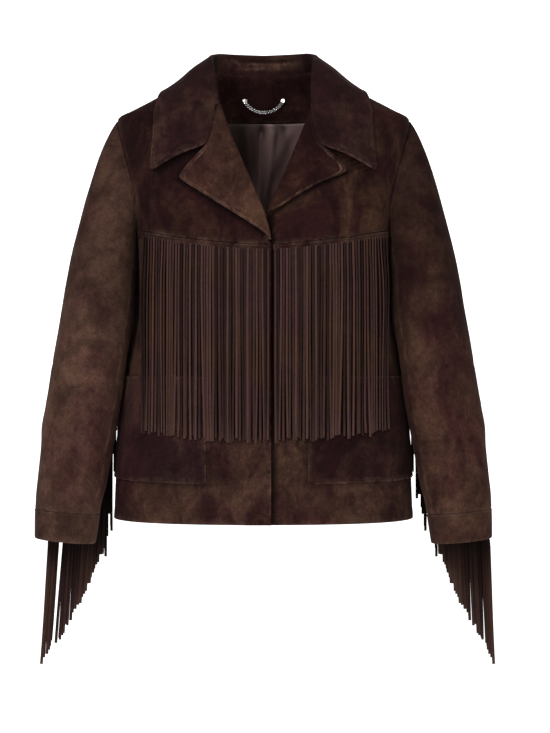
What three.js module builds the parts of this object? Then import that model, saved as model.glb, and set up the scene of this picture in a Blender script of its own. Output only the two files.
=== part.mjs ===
// A suede western jacket, filled out as on a wearer but hollow: fringed front yokes, a notched collar
// with wide lapels, patch pockets, two-piece sleeves with fringe in the hind seam, turned-up cuffs and a
// fly front. Millimetres, +Z up, the front faces -Y, the wearer's left is +X. The origin is the middle of
// the neck opening, level with the points where the shoulder seams meet the neck.
import * as THREE from 'three';

// ---------------------------------------------------------------- driving dimensions
const CLOTH = 2; // suede with its backing
const SEAM_GAP = 0.3; // between two pieces at a seam
const HEM_Z = -624.5; // hem at the side seams
const HEM_DROP = 1.5; // how much lower the hem hangs at the centre front
const NECK_Z = -1.5; // top rim of the yokes and the back, under the collar
const SHOULDER_Z = -70; // shoulder tips, where the armholes start
const ARMPIT_Z = -236;
const SQUARENESS = 2.4; // exponent of the torso's sections: 2 is an ellipse
const FRONT_EDGE = 11; // each front runs this far past the centre
const OVERLAP_LIFT = 3; // the right front lies on the left one by this much
const POCKET = { top: -428, bottom: -567, innerRight: 79, innerLeft: 64, cloth: 1.7 };
const FRONT_FRINGE = { pitch: 4, width: 3, cloth: 1.3, strip: 7.5, end: -512 };
const FRONT_FRINGE_ENDS = { outer: 169, innerRight: -7, innerLeft: 16 }; // of its strip, from the centre
// Upper thongs hang from the steep stretch of the sleeve's seam, lower ones from where it slants outward.
const SLEEVE_FRINGE = { upper: 38, lower: 19, width: 3, cloth: 1.2, strip: 7, length: 190 };
const SLEEVE_SEAM = { from: 0.6, turn: 4.7, to: 6.93 }; // rows that the sleeve's fringe spans, and its turn
const LANES = { count: 5, pitch: 4.2 }; // the upper thongs fan out into lanes
const FACING = { bottom: -62, rise: 9, cloth: 1.4, reach: 58 }; // of the back neck; reach in degrees
const LINING = { bottom: -240, cloth: 1.2, reach: 48 };
const CHAIN = { halfSpan: 28.5, z: -31, sag: 19, width: 3.2, rivet: 3.6 };

// Half width, and depth in front of and behind the side seams, of the torso at each height.
const TORSO = [
  { z: -640, side: 209.5, front: 120, back: 112 },
  { z: -572, side: 206, front: 119, back: 111 },
  { z: -531, side: 203.5, front: 118, back: 109 },
  { z: -461, side: 195, front: 116.5, back: 105 },
  { z: -391, side: 185.5, front: 116, back: 101 },
  { z: -321, side: 176, front: 117.5, back: 102 },
  { z: -280, side: 173.6, front: 119, back: 105 },
  { z: -236, side: 175.5, front: 119, back: 108 },
  { z: -200, side: 181, front: 116.5, back: 109 },
  { z: -165, side: 187.5, front: 111.5, back: 108 },
  { z: -130, side: 194.5, front: 104, back: 103 },
  { z: -100, side: 200, front: 95.5, back: 96 },
  { z: -78, side: 203.8, front: 87.5, back: 90 },
  { z: -70, side: 203, front: 84, back: 87 },
  { z: -60, side: 185.4, front: 80, back: 83 },
  { z: -40, side: 147.6, front: 71, back: 75 },
  { z: -20, side: 109.8, front: 60, back: 67 },
  { z: 0, side: 72, front: 48, back: 58 },
];

// Yoke seam: height at each distance from the centre. Its outer end is on the armhole.
const YOKE_END_Z = -228;
const YOKE_SEAM = [
  { x: -20, z: -252 },
  { x: 0, z: -252 },
  { x: 100, z: -243 },
  { x: 150, z: -233 },
  { x: 173, z: YOKE_END_Z },
];

// Rows of the back and the yokes, as heights at the armhole: close together where the armhole turns.
const UPPER_ROWS = [-222, -206, -181, -152, -127, -106, -90, -79, -73, -70.4, -56, -38, -18, NECK_Z];
const BACK_ROWS = [-560, -490, -420, -350, -290, -250, ARMPIT_Z, YOKE_END_Z, ...UPPER_ROWS];
const YOKE_COLUMNS = 9;
const SIDE_COLUMNS = 2; // of the front, under the armhole

// Roll line, where the front turns back into the lapel: distance from the centre at each height.
const ROLL_LINE = [
  { z: -262, x: -11 },
  { z: -247, x: -11 },
  { z: -213, x: 0 },
  { z: -187, x: 11 },
  { z: -145, x: 29 },
  { z: -95, x: 49 },
  { z: -59, x: 61 },
  { z: -38, x: 66 },
  { z: -18, x: 69 },
  { z: -6, x: 71 },
  { z: 0, x: 72 },
];

const ROLL_SKEW = 4; // the crossed fronts set both roll lines this far towards the wearer's left
const FOLD = 4; // the yoke's edge lies this far inside the fold of the lapel

// Free edge of a lapel: the break at the bottom (row 0), the tip (row 6), the notch (row 9) and the top of
// the gorge (row 11). roll is the height on the roll line that each row starts from, and rise how much
// higher the left lapel lies, as the fronts cross.
const LAPEL_EDGE = [
  { row: 0, x: -9, z: -243, roll: -246, rise: 18 },
  { row: 1, x: 2, z: -234, roll: -238, rise: 18 },
  { row: 2, x: 22, z: -221, roll: -226, rise: 18 },
  { row: 3, x: 48, z: -204, roll: -210, rise: 19 },
  { row: 4, x: 76, z: -186, roll: -192, rise: 17 },
  { row: 5, x: 103, z: -168.5, roll: -174, rise: 11.5 },
  { row: 6, x: 113, z: -161, roll: -158, rise: 9 },
  { row: 7, x: 106, z: -149.5, roll: -142, rise: 7 },
  { row: 8, x: 88, z: -130, roll: -124, rise: 4.5 },
  { row: 9, x: 74, z: -115, roll: -104, rise: 1.5 },
  { row: 10, x: 67.6, z: -86, roll: -81, rise: 0.5 },
  { row: 11, x: 63.4, z: -64, roll: -61.5, rise: 0 },
];
const LAPEL_FIRST_ROW = { right: 0, left: 2 }; // the left lapel goes in under the right front

// Collar: fold and free edge at stations from the centre back (0) by the shoulder (4) to the front end (8),
// and the height of the neck seam that each station stands on.
const COLLAR = [
  { station: 0, neckZ: NECK_Z, foldX: 0, foldY: 60, foldZ: 32, edgeX: 0, edgeY: 85, edgeZ: -48 },
  { station: 1, neckZ: NECK_Z, foldX: 32, foldY: 56, foldZ: 32.5, edgeX: 47, edgeY: 82, edgeZ: -47 },
  { station: 2, neckZ: NECK_Z, foldX: 56, foldY: 40, foldZ: 31, edgeX: 92, edgeY: 70, edgeZ: -44 },
  { station: 3, neckZ: NECK_Z, foldX: 68, foldY: 19, foldZ: 27, edgeX: 123, edgeY: 42, edgeZ: -38 },
  { station: 4, neckZ: NECK_Z, foldX: 71, foldY: -4, foldZ: 23, edgeX: 136.5, edgeY: 2, edgeZ: -33 },
  { station: 5, neckZ: -7, foldX: 70, foldY: -27, foldZ: 14, edgeX: 145, edgeY: -34, edgeZ: -46 },
  { station: 6, neckZ: -18, foldX: 67, foldY: -48, foldZ: 0, edgeX: 148, edgeY: -64, edgeZ: -78 },
  { station: 7, neckZ: -36, foldX: 64, foldY: -66, foldZ: -20, edgeX: 150, edgeY: -80, edgeZ: -114 },
  { station: 8, neckZ: -55, foldX: 59.5, foldY: -80, foldZ: -46, edgeX: 149, edgeY: -86, edgeZ: -145 },
];
const LAST_STATION = 8;
const COLLAR_CLOTH = 2.4;
const COLLAR_LIFT = 5.4; // the fall's outer face stands at least this far off the body
// Front end of the collar, row by row: round the roll line (rows 0 to 4), down the gorge seam to the notch
// (row 5) and out to the tip (row 7). lift is how far off the body each point stands.
const COLLAR_END = [
  { row: 0, x: 62.8, z: -55, lift: -1.8 },
  { row: 1, x: 61.4, z: -54.5, lift: 0.6 },
  { row: 2, x: 62.8, z: -54, lift: 3.4 },
  { row: 3, x: 64.8, z: -55, lift: 5.2 },
  { row: 4, x: 67.5, z: -69, lift: 5.8 },
  { row: 5, x: 76, z: -110.5, lift: 5.6 },
  { row: 6, x: 110, z: -127, lift: 5.6 },
  { row: 7, x: 146, z: -146, lift: 5.4 },
];

// Rings of the arm below the armhole: centre, half width and half depth, square to the arm.
const ARM = [
  { z: -280, x: 222.8, y: -14, width: 46.5, depth: 64 },
  { z: -321, x: 226.3, y: -24, width: 49.4, depth: 63 },
  { z: -391, x: 236.6, y: -32, width: 50.4, depth: 60 },
  { z: -461, x: 246.8, y: -36, width: 50.5, depth: 57 },
  { z: -531, x: 257.4, y: -38, width: 49, depth: 53 },
  { z: -572, x: 263.4, y: -38, width: 47.4, depth: 51 },
  { z: -600, x: 268.3, y: -38, width: 45.3, depth: 49 },
  { z: -654, x: 273, y: -38, width: 41, depth: 47 },
];
const ARM_TILT = { x: 0.1, y: -0.03 }; // slope of each ring's plane
const CAP = 1; // sleeve rows run 0..1 over the cap, then 1..7 down the arm
const CUFF_ROW = 6.35; // row of the cuff seam
const CUFF_END = 7;
const FRONT_SEAM = 150; // degrees round the arm: 0 outside, 90 front, 180 inside, 270 back
// Hind seam of the sleeve: degrees round the arm at each row.
const HIND_SEAM = [
  { row: 0, angle: 255 },
  { row: 1, angle: 255 },
  { row: 2, angle: 251 },
  { row: 2.8, angle: 246 },
  { row: 3.6, angle: 244 },
  { row: 4.8, angle: 257 },
  { row: 5.6, angle: 276 },
  { row: 6.4, angle: 308 },
  { row: 7, angle: 336 },
];

// Soft folds of the body and sleeves: middle, reach along and across the fold, height and slant.
const BODY_FOLDS = [
  { angle: 66, z: -310, along: 65, across: 8, high: 2.5, slant: 0.10 },
  { angle: 76, z: -330, along: 75, across: 7, high: -3, slant: 0.08 },
  { angle: 128, z: -300, along: 70, across: 10, high: 3.5, slant: -0.12 },
  { angle: 142, z: -360, along: 90, across: 11, high: -3, slant: -0.08 },
  { angle: 160, z: -470, along: 110, across: 12, high: 4, slant: -0.03 },
  { angle: 118, z: -500, along: 100, across: 11, high: 4, slant: 0.03 },
  { angle: 50, z: -560, along: 60, across: 9, high: 2, slant: 0.02 },
];
const SLEEVE_FOLDS = [
  { angle: 195, row: 1.5, along: 30, across: 0.20, high: -2.5, slant: 0.004 },
  { angle: 200, row: 2.2, along: 30, across: 0.22, high: 2, slant: 0.004 },
  { angle: 110, row: 3.3, along: 42, across: 0.22, high: -2.5, slant: -0.003 },
  { angle: 120, row: 3.9, along: 45, across: 0.24, high: 2.5, slant: -0.003 },
  { angle: 20, row: 4.6, along: 50, across: 0.3, high: 2, slant: 0.003 },
];

// ---------------------------------------------------------------- small maths
const radians = THREE.MathUtils.degToRad;
const lerp = THREE.MathUtils.lerp;
const smooth = (at, from, to) => THREE.MathUtils.smoothstep(at, from, to);
const vector = (x, y, z) => new THREE.Vector3(x, y, z);

// A smooth curve without overshoot through one column of a table, read at a value of its key.
function curve(table, key, column) {
  const rows = [...table].sort((a, b) => a[key] - b[key]);
  const steps = rows.slice(1).map((row, i) => (row[column] - rows[i][column]) / (row[key] - rows[i][key]));
  const slopes = rows.map((row, i) => {
    if (i === 0) return steps[0];
    if (i === rows.length - 1) return steps[i - 1];
    const [before, after] = [steps[i - 1], steps[i]];
    return before * after <= 0 ? 0 : (2 * before * after) / (before + after);
  });
  return (at) => {
    const last = rows.length - 2;
    let i = rows.findIndex((row) => row[key] > at) - 1;
    if (i < 0) i = at <= rows[0][key] ? 0 : last;
    const span = rows[i + 1][key] - rows[i][key];
    const t = THREE.MathUtils.clamp((at - rows[i][key]) / span, 0, 1);
    const [a, b] = [rows[i][column], rows[i + 1][column]];
    const [da, db] = [slopes[i] * span, slopes[i + 1] * span];
    return a + t * da + t * t * (3 * (b - a) - 2 * da - db) + t * t * t * (2 * (a - b) + da + db);
  };
}

// The same, but straight between the rows, for outlines with corners.
function polyline(table, key, column) {
  return (at) => {
    const i = Math.min(Math.max(table.findIndex((row) => row[key] >= at), 1), table.length - 1);
    const [a, b] = [table[i - 1], table[i]];
    return lerp(a[column], b[column], THREE.MathUtils.clamp((at - a[key]) / (b[key] - a[key]), 0, 1));
  };
}

// ---------------------------------------------------------------- walls and meshes
const EPSILON = 1e-3; // step of the differences that give a normal

// Normal of a surface given as point(u, v).
function normalAt(point, u, v) {
  const low = (at) => Math.max(at - EPSILON, 0);
  const high = (at) => Math.min(at + EPSILON, 1);
  const along = point(high(u), v).sub(point(low(u), v));
  const up = point(u, high(v)).sub(point(u, low(v)));
  return along.cross(up).normalize();
}

// Inner face of a wall: its outer face moved in along the normal. side is +1 or -1 and picks the way in.
function inside(point, thickness, side) {
  return (u, v) => point(u, v).addScaledVector(normalAt(point, u, v), -side * thickness);
}

// A closed wall of cloth between two faces given as point(u, v), on a grid; around closes it into a tube.
function wall(columns, rows, outer, inner, around = false) {
  const across = around ? columns : columns + 1;
  const positions = [];
  for (const face of [outer, inner])
    for (let j = 0; j <= rows; j++)
      for (let i = 0; i < across; i++) positions.push(...face(i / columns, j / rows).toArray());
  const half = across * (rows + 1);
  const id = (i, j) => (i % across) + j * across;
  const triangles = [];
  const quad = (a, b, c, d) => triangles.push(a, b, c, a, c, d);
  for (let j = 0; j < rows; j++)
    for (let i = 0; i < columns; i++) {
      let [a, b, c, d] = [id(i, j), id(i + 1, j), id(i + 1, j + 1), id(i, j + 1)];
      if (2 * i >= columns) [a, b, c, d] = [b, c, d, a]; // the two sides mirror each other
      quad(a, b, c, d);
      triangles.push(half + a, half + c, half + b, half + a, half + d, half + c);
    }
  for (let i = 0; i < columns; i++) {
    quad(id(i + 1, 0), id(i, 0), half + id(i, 0), half + id(i + 1, 0));
    quad(id(i, rows), id(i + 1, rows), half + id(i + 1, rows), half + id(i, rows));
  }
  if (!around)
    for (let j = 0; j < rows; j++) {
      quad(id(0, j), id(0, j + 1), half + id(0, j + 1), half + id(0, j));
      quad(id(columns, j + 1), id(columns, j), half + id(columns, j), half + id(columns, j + 1));
    }
  return closed(positions, triangles);
}

// A geometry from points and triangles, turned so that its faces point out.
function closed(positions, triangles) {
  const at = (i) => vector(...positions.slice(3 * i, 3 * i + 3));
  let volume = 0;
  for (let i = 0; i < triangles.length; i += 3)
    volume += at(triangles[i]).dot(at(triangles[i + 1]).cross(at(triangles[i + 2])));
  if (volume < 0)
    for (let i = 0; i < triangles.length; i += 3)
      [triangles[i + 1], triangles[i + 2]] = [triangles[i + 2], triangles[i + 1]];
  const geometry = new THREE.BufferGeometry();
  geometry.setAttribute('position', new THREE.Float32BufferAttribute(positions, 3));
  geometry.setIndex(triangles);
  return geometry;
}

// A strip with thongs hanging from its lower edge, as one closed body. strip(u, v, face) gives the strip's
// points: u along it, v from its lower edge (0) to its upper one (1), face 0 under and 1 on top. Each thong
// grows out of the strip between its from and its to, and goes on through its steps: a middle, a direction
// across and one out.
const STRIP_CORNERS = [[0, 1], [1, 1], [0, 0], [1, 0]]; // v and face
const THONG_CORNERS = [[-1, 1], [1, 1], [1, -1], [-1, -1]]; // across and out
function comb(thongs, strip, width, thickness) {
  const positions = [];
  const triangles = [];
  const put = (point) => positions.push(...point.toArray()) / 3 - 1;
  const quad = (a, b, c, d) => triangles.push(a, b, c, a, c, d);
  const marks = [0, ...thongs.flatMap(({ from, to }) => [from, to]), 1];
  const columns = marks.map((u) => STRIP_CORNERS.map(([v, face]) => put(strip(u, v, face))));
  const [lowerTop, upperTop, lowerUnder, upperUnder] = [0, 1, 2, 3];
  quad(columns[0][lowerTop], columns[0][upperTop], columns[0][upperUnder], columns[0][lowerUnder]);
  for (let k = 0; k + 1 < columns.length; k++) {
    const [a, b] = [columns[k], columns[k + 1]];
    quad(a[lowerTop], b[lowerTop], b[upperTop], a[upperTop]);
    quad(b[lowerUnder], a[lowerUnder], a[upperUnder], b[upperUnder]);
    quad(a[upperTop], b[upperTop], b[upperUnder], a[upperUnder]);
    let section = [a[lowerTop], b[lowerTop], b[lowerUnder], a[lowerUnder]];
    for (const { middle, across, out } of k % 2 ? thongs[(k - 1) / 2].steps : []) {
      const next = THONG_CORNERS.map(([i, j]) => {
        const corner = middle.clone().addScaledVector(across, (i * width) / 2);
        return put(corner.addScaledVector(out, (j * thickness) / 2));
      });
      for (let i = 0; i < 4; i++) quad(section[(i + 1) % 4], section[i], next[i], next[(i + 1) % 4]);
      section = next;
    }
    quad(section[1], section[0], section[3], section[2]);
  }
  const end = columns[columns.length - 1];
  quad(end[lowerUnder], end[upperUnder], end[upperTop], end[lowerTop]);
  return closed(positions, triangles);
}

// ---------------------------------------------------------------- the torso's surface
const sideAt = curve(TORSO, 'z', 'side');
const frontAt = curve(TORSO, 'z', 'front');
const backAt = curve(TORSO, 'z', 'back');
const yokeSeamAt = curve(YOKE_SEAM, 'x', 'z');
const middleRollAt = curve(ROLL_LINE, 'z', 'x');
const skewAt = (z) => ROLL_SKEW * smooth(z, -245, -205) * (1 - 0.8 * smooth(z, -60, -10));
const rollAt = (side, z) => middleRollAt(z) + side * skewAt(z);
const neckEdgeAt = (side, z) => rollAt(side, z) + FOLD * smooth(z, -253, -247) * (1 - smooth(z, -58, -30));

// Height of one fold of a table at a place that lies so far from the fold's middle across and along it.
function foldHeight(fold, across, along) {
  return fold.high * Math.exp(-((across / fold.across) ** 2) - (along / fold.along) ** 2);
}

function bodyFolds(angle, z) {
  return BODY_FOLDS.reduce((sum, fold) => {
    const along = z - fold.z;
    return sum + foldHeight(fold, angle - fold.angle - fold.slant * along, along);
  }, 0);
}

// Point of the torso at a height, and at an angle in degrees from the centre front (0) round the side (90)
// to the centre back (180). side is -1 on the wearer's right and +1 on the left; out moves the point off
// the surface.
function torsoPoint(side, angle, z, out = 0) {
  const place = (degrees, height) => {
    const a = radians(degrees);
    const [sin, cos] = [Math.sin(a), Math.cos(a)];
    const depth = cos > 0 ? frontAt(height) : backAt(height);
    const reach = (Math.abs(sin) ** SQUARENESS + Math.abs(cos) ** SQUARENESS) ** (-1 / SQUARENESS);
    const fold = 1 + bodyFolds(degrees, height) / 120;
    return vector(side * sideAt(height) * sin * reach * fold, -depth * cos * reach * fold, height);
  };
  const point = place(angle, z);
  if (out === 0) return point;
  const along = place(angle + 0.05, z).sub(place(angle - 0.05, z));
  const up = place(angle, z + 0.05).sub(place(angle, z - 0.05));
  return point.addScaledVector(along.cross(up).normalize(), side * out);
}

// Angle at which the torso's front is x from the centre, on its own side, at a height.
function angleAt(x, z) {
  const share = Math.min(Math.abs(x) / sideAt(z), 1);
  if (share < 1e-6) return 0;
  const cot = Math.max(share ** -SQUARENESS - 1, 0) ** (1 / SQUARENESS);
  return Math.sign(x) * THREE.MathUtils.radToDeg(Math.atan2(1, cot));
}

// How far the right front stands off to lie on the left one, at an angle and height.
function overlapLift(side, angle, z) {
  if (side > 0) return 0;
  const x = Math.sign(angle) * torsoPoint(1, Math.abs(angle), z).x;
  return OVERLAP_LIFT * (1 - smooth(x, 12, 50));
}

// How far a point is outside the torso, roughly, and the way out.
function offTorso(point) {
  const field = (x, y, z) => {
    const deep = Math.abs(y) / (y < 0 ? frontAt(z) : backAt(z));
    return ((Math.abs(x) / sideAt(z)) ** SQUARENESS + deep ** SQUARENESS) ** (1 / SQUARENESS) - 1;
  };
  const { x, y, z } = point;
  const way = vector(
    field(x + 0.5, y, z) - field(x - 0.5, y, z),
    field(x, y + 0.5, z) - field(x, y - 0.5, z),
    field(x, y, z + 0.5) - field(x, y, z - 0.5),
  );
  const steep = way.length();
  return { distance: field(x, y, z) / Math.max(steep, 1e-6), way: way.normalize() };
}

// The point moved out until it is at least clearance off the torso.
function clearOfTorso(point, clearance) {
  for (let i = 0; i < 4; i++) {
    const { distance, way } = offTorso(point);
    if (distance < clearance) point.addScaledVector(way, clearance - distance);
  }
  return point;
}

// Armhole: a ring on the torso, at degrees from the shoulder tip (0) by the front (90) to the armpit (180).
const ARMHOLE_WIDTH = 47;
const ARMHOLE_SKEW = 26.6; // the ring is widest below its middle
function armhole(side, angle, inset = 0) {
  const middle = (SHOULDER_Z + ARMPIT_Z) / 2;
  const z = middle + ((SHOULDER_Z - ARMPIT_Z) / 2 - inset) * Math.cos(radians(angle));
  const y = -(ARMHOLE_WIDTH - inset) * Math.sin(radians(angle - ARMHOLE_SKEW * Math.sin(radians(angle))));
  const depth = y < 0 ? frontAt(z) : backAt(z);
  const x = sideAt(z) * (1 - (Math.abs(y) / depth) ** SQUARENESS) ** (1 / SQUARENESS);
  return vector(side * x, y, z);
}

// Angle on the torso of the armhole's edge at a height, in front; the back mirrors it about the side.
function armholeAngle(z) {
  if (z <= ARMPIT_Z || z >= SHOULDER_Z) return 90;
  const middle = (SHOULDER_Z + ARMPIT_Z) / 2;
  const round = THREE.MathUtils.radToDeg(Math.acos((z - middle) / ((SHOULDER_Z - ARMPIT_Z) / 2)));
  return angleAt(Math.abs(armhole(1, round).x), z);
}

const EDGE_CUT = 0.12; // degrees that each piece stops short of a seam on the torso

// ---------------------------------------------------------------- body pieces
const hemAt = (angle) => HEM_Z - HEM_DROP * Math.max(Math.cos(radians(angle)), 0);

// Point of a panel's top edge at a column: on the yoke seam, then along the armhole to the side seam.
const YOKE_END_ROUND = 151.6; // degrees round the armhole where the yoke seam meets it
function frontTop(column) {
  if (column > YOKE_COLUMNS) {
    const round = lerp(YOKE_END_ROUND, 180, (column - YOKE_COLUMNS) / SIDE_COLUMNS);
    const { x, z } = armhole(1, round);
    return { angle: Math.min(angleAt(x, z), 90 - EDGE_CUT), z: z - SEAM_GAP };
  }
  const first = angleAt(-FRONT_EDGE, YOKE_SEAM[0].z);
  const last = armholeAngle(YOKE_END_Z) - EDGE_CUT;
  const angle = lerp(first, last, column / YOKE_COLUMNS);
  let z = YOKE_END_Z;
  for (let i = 0; i < 5; i++) z = yokeSeamAt(Math.sign(angle) * torsoPoint(1, Math.abs(angle), z).x);
  return { angle, z };
}

const BACK_TURN = { share: 5 / 7, angle: 116 }; // beyond this the columns follow the armhole
function back() {
  const [columns, rows] = [14, BACK_ROWS.length];
  const face = (out) => (u, v) => {
    const row = Math.round(v * rows);
    const z = row === 0 ? HEM_Z : BACK_ROWS[row - 1];
    const edge = 180 - armholeAngle(z) + EDGE_CUT;
    const share = Math.abs(2 * u - 1);
    const turned = Math.max(share - BACK_TURN.share, 0) / (1 - BACK_TURN.share);
    const angle = lerp(lerp(180, BACK_TURN.angle, Math.min(share / BACK_TURN.share, 1)), edge, turned);
    return torsoPoint(u < 0.5 ? -1 : 1, angle, z, out);
  };
  return wall(columns, rows, face(0), face(-CLOTH));
}

function front(side) {
  const [columns, rows] = [YOKE_COLUMNS + SIDE_COLUMNS, 10];
  const face = (out) => (u, v) => {
    const column = Math.round(u * columns);
    const top = frontTop(column);
    const z = lerp(hemAt(top.angle), top.z - SEAM_GAP / 2, v);
    const angle = column === 0 ? angleAt(-FRONT_EDGE, z) : top.angle;
    return torsoPoint(side, angle, z, out + overlapLift(side, angle, z));
  };
  return wall(columns, rows, face(0), face(-CLOTH));
}

function yoke(side) {
  const rows = UPPER_ROWS.length;
  const face = (out) => (u, v) => {
    const row = Math.round(v * rows);
    const seam = frontTop(Math.round(u * YOKE_COLUMNS));
    if (row === 0) {
      const lift = overlapLift(side, seam.angle, seam.z);
      return torsoPoint(side, seam.angle, seam.z + SEAM_GAP / 2, out + lift);
    }
    const share = (UPPER_ROWS[row - 1] - YOKE_END_Z) / (NECK_Z - YOKE_END_Z);
    const z = lerp(seam.z, NECK_Z, share);
    const rollZ = lerp(YOKE_SEAM[0].z, NECK_Z, share);
    const start = angleAt(neckEdgeAt(side, rollZ), rollZ);
    const angle = lerp(start, armholeAngle(UPPER_ROWS[row - 1]) - EDGE_CUT, u);
    return torsoPoint(side, angle, z, out + overlapLift(side, angle, z));
  };
  return wall(YOKE_COLUMNS, rows, face(0), face(-CLOTH));
}

// ---------------------------------------------------------------- lapels
const LAPEL_CLOTH = 1.8;
const lapelX = polyline(LAPEL_EDGE, 'row', 'x');
const lapelZ = polyline(LAPEL_EDGE, 'row', 'z');
const lapelRoll = polyline(LAPEL_EDGE, 'row', 'roll');
const lapelRise = polyline(LAPEL_EDGE, 'row', 'rise');

// Section of a lapel, column by column, from the facing behind the yoke's edge, round the fold and out to
// its free edge: away is how far it lies from the roll line, share how far along to the edge, lift how far
// off the yoke.
const LAPEL_SECTION = [
  { column: 0, away: 1.4, share: 0, lift: -1.6 },
  { column: 1, away: 0, share: 0, lift: 1 },
  { column: 2, away: 1.4, share: 0, lift: 4 },
  { column: 3, away: 3, share: 0.08, lift: 5.4 },
  { column: 4, away: 2, share: 0.35, lift: 5.4 },
  { column: 5, away: 1, share: 0.7, lift: 4.8 },
  { column: 6, away: 0, share: 1, lift: 3.8 },
];
const sectionAway = polyline(LAPEL_SECTION, 'column', 'away');
const sectionShare = polyline(LAPEL_SECTION, 'column', 'share');
const sectionLift = polyline(LAPEL_SECTION, 'column', 'lift');

function lapel(side) {
  const name = side < 0 ? 'right' : 'left';
  const first = LAPEL_FIRST_ROW[name];
  const last = LAPEL_EDGE.length - 1;
  const columns = LAPEL_SECTION.length - 1;
  const point = (u, v) => {
    const row = lerp(first, last, v);
    const column = u * columns;
    const rise = side > 0 ? lapelRise(row) : 0;
    const roll = lapelRoll(row) + rise;
    const share = sectionShare(column);
    const x = lerp(rollAt(side, roll), lapelX(row), share) + sectionAway(column);
    const z = lerp(roll, lapelZ(row) + rise, share);
    const angle = angleAt(x, z);
    return torsoPoint(side, angle, z, sectionLift(column) + overlapLift(side, angle, z));
  };
  return wall(columns, last, point, inside(point, LAPEL_CLOTH, side));
}

// ---------------------------------------------------------------- collar
const collarAt = Object.fromEntries(
  Object.keys(COLLAR[0]).map((column) => [column, curve(COLLAR, 'station', column)]),
);
const collarEnd = Object.fromEntries(
  Object.keys(COLLAR_END[0]).map((column) => [column, polyline(COLLAR_END, 'row', column)]),
);
const FOLD_RADIUS = 4.2;
const COLLAR_ROWS = COLLAR_END.length - 1;

// Where the collar is sewn to the neck edge of the back and the yokes.
function neckSeam(side, station) {
  const z = collarAt.neckZ(station);
  const angle = station < 4 ? 180 - 22.5 * station : angleAt(neckEdgeAt(side, z), z);
  const front = smooth(station, 4, 6);
  return torsoPoint(1, angle, z, -1.9).add(vector(-2.2 * front, 0, 2.3 - 0.6 * front));
}

// Section of the collar at a station: from the neck seam up the stand, over the fold and down the fall.
function collarSection(side, station) {
  const fold = vector(collarAt.foldX(station), collarAt.foldY(station), collarAt.foldZ(station));
  const edge = vector(collarAt.edgeX(station), collarAt.edgeY(station), collarAt.edgeZ(station));
  const neck = neckSeam(side, station);
  const out = vector(edge.x - fold.x, edge.y - fold.y, 0).normalize();
  const beside = (along, down) => fold.clone().addScaledVector(out, along * FOLD_RADIUS).setZ(fold.z - down);
  const stand = neck.clone().lerp(beside(-0.1, 5), 0.6);
  const path = [neck, stand, beside(-0.1, 4), beside(0.75, 0), beside(2, 3.6)];
  const shoulder = path[path.length - 1];
  for (const share of [0.33, 0.68, 1]) {
    const next = shoulder.clone().lerp(edge, share);
    next.z += 2 * Math.sin(Math.PI * share);
    path.push(clearOfTorso(next, COLLAR_LIFT + 2 * (1 - share)));
  }
  return path;
}

function collarPoint(side, station, row) {
  const ending = smooth(station, 6.3, LAST_STATION);
  const z = collarEnd.z(row);
  const x = collarEnd.x(row) + side * skewAt(z) * (1 - smooth(row, 3, 5));
  const end = torsoPoint(1, angleAt(x, z), z, collarEnd.lift(row));
  const path = collarSection(side, station);
  const i = Math.min(Math.floor(row), COLLAR_ROWS - 1);
  const point = path[i].clone().lerp(path[i + 1], row - i).lerp(end, ending);
  point.x *= side;
  return point;
}

function collar() {
  const point = (u, v) => collarPoint(u < 0.5 ? -1 : 1, Math.abs(2 * u - 1) * LAST_STATION, v * COLLAR_ROWS);
  return wall(26, COLLAR_ROWS, point, inside(point, COLLAR_CLOTH, 1));
}

// ---------------------------------------------------------------- sleeves
const armX = curve(ARM, 'z', 'x');
const armY = curve(ARM, 'z', 'y');
const armWidth = curve(ARM, 'z', 'width');
const armDepth = curve(ARM, 'z', 'depth');
const hindSeamAt = curve(HIND_SEAM, 'row', 'angle');
const ARM_TOP = ARM[0].z;
const ARM_END = ARM[ARM.length - 1].z;
const ROWS_PER_MM = (CUFF_END - CAP) / (ARM_TOP - ARM_END);
const CAP_INSET = 1.8; // the cap starts this far inside the armhole's edge

function sleeveFolds(angle, row) {
  return SLEEVE_FOLDS.reduce((sum, fold) => {
    const round = ((angle - fold.angle + 540) % 360) - 180;
    return sum + foldHeight(fold, row - fold.row - fold.slant * round, round);
  }, 0);
}

// Ring of the arm at a height of its axis.
function armRing(side, angle, height, out) {
  const a = radians(angle);
  const fold = sleeveFolds(angle, CAP + (ARM_TOP - height) * ROWS_PER_MM);
  const x = (armWidth(height) + out + fold) * Math.cos(a);
  const y = -(armDepth(height) + out + fold) * Math.sin(a);
  return vector(side * (armX(height) + x), armY(height) + y, height + ARM_TILT.x * x + ARM_TILT.y * y);
}

// Point of a sleeve: row 0..1 over the cap, 1..7 down to the end of the cuff.
function sleevePoint(side, angle, row, out = 0) {
  if (row >= CAP) return armRing(side, angle, ARM_TOP - (row - CAP) / ROWS_PER_MM, out);
  const a = radians(angle);
  const leave = vector(side * (0.45 + 0.3 * Math.cos(a)), -0.5 * Math.sin(a), -0.66).normalize();
  const start = armhole(side, angle, CAP_INSET).add(vector(side * 0.9, 0, 0));
  const end = armRing(side, angle, ARM_TOP, 0);
  const arrive = vector(side * 0.19, -0.06, -0.98).normalize();
  const length = start.distanceTo(end);
  const [s, t] = [row * row * (3 - 2 * row), row];
  const point = start
    .clone()
    .lerp(end, s)
    .addScaledVector(leave, 0.3 * length * t * (1 - t) ** 2)
    .addScaledVector(arrive, -1.3 * length * t * t * (1 - t));
  if (out === 0) return point;
  const near = (turn, rise) => sleevePoint(side, angle + turn, THREE.MathUtils.clamp(row + rise, 0, 0.999));
  const way = near(1, 0).sub(near(-1, 0)).cross(near(0, 0.01).sub(near(0, -0.01)));
  return point.addScaledVector(way.normalize(), side * out);
}

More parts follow.
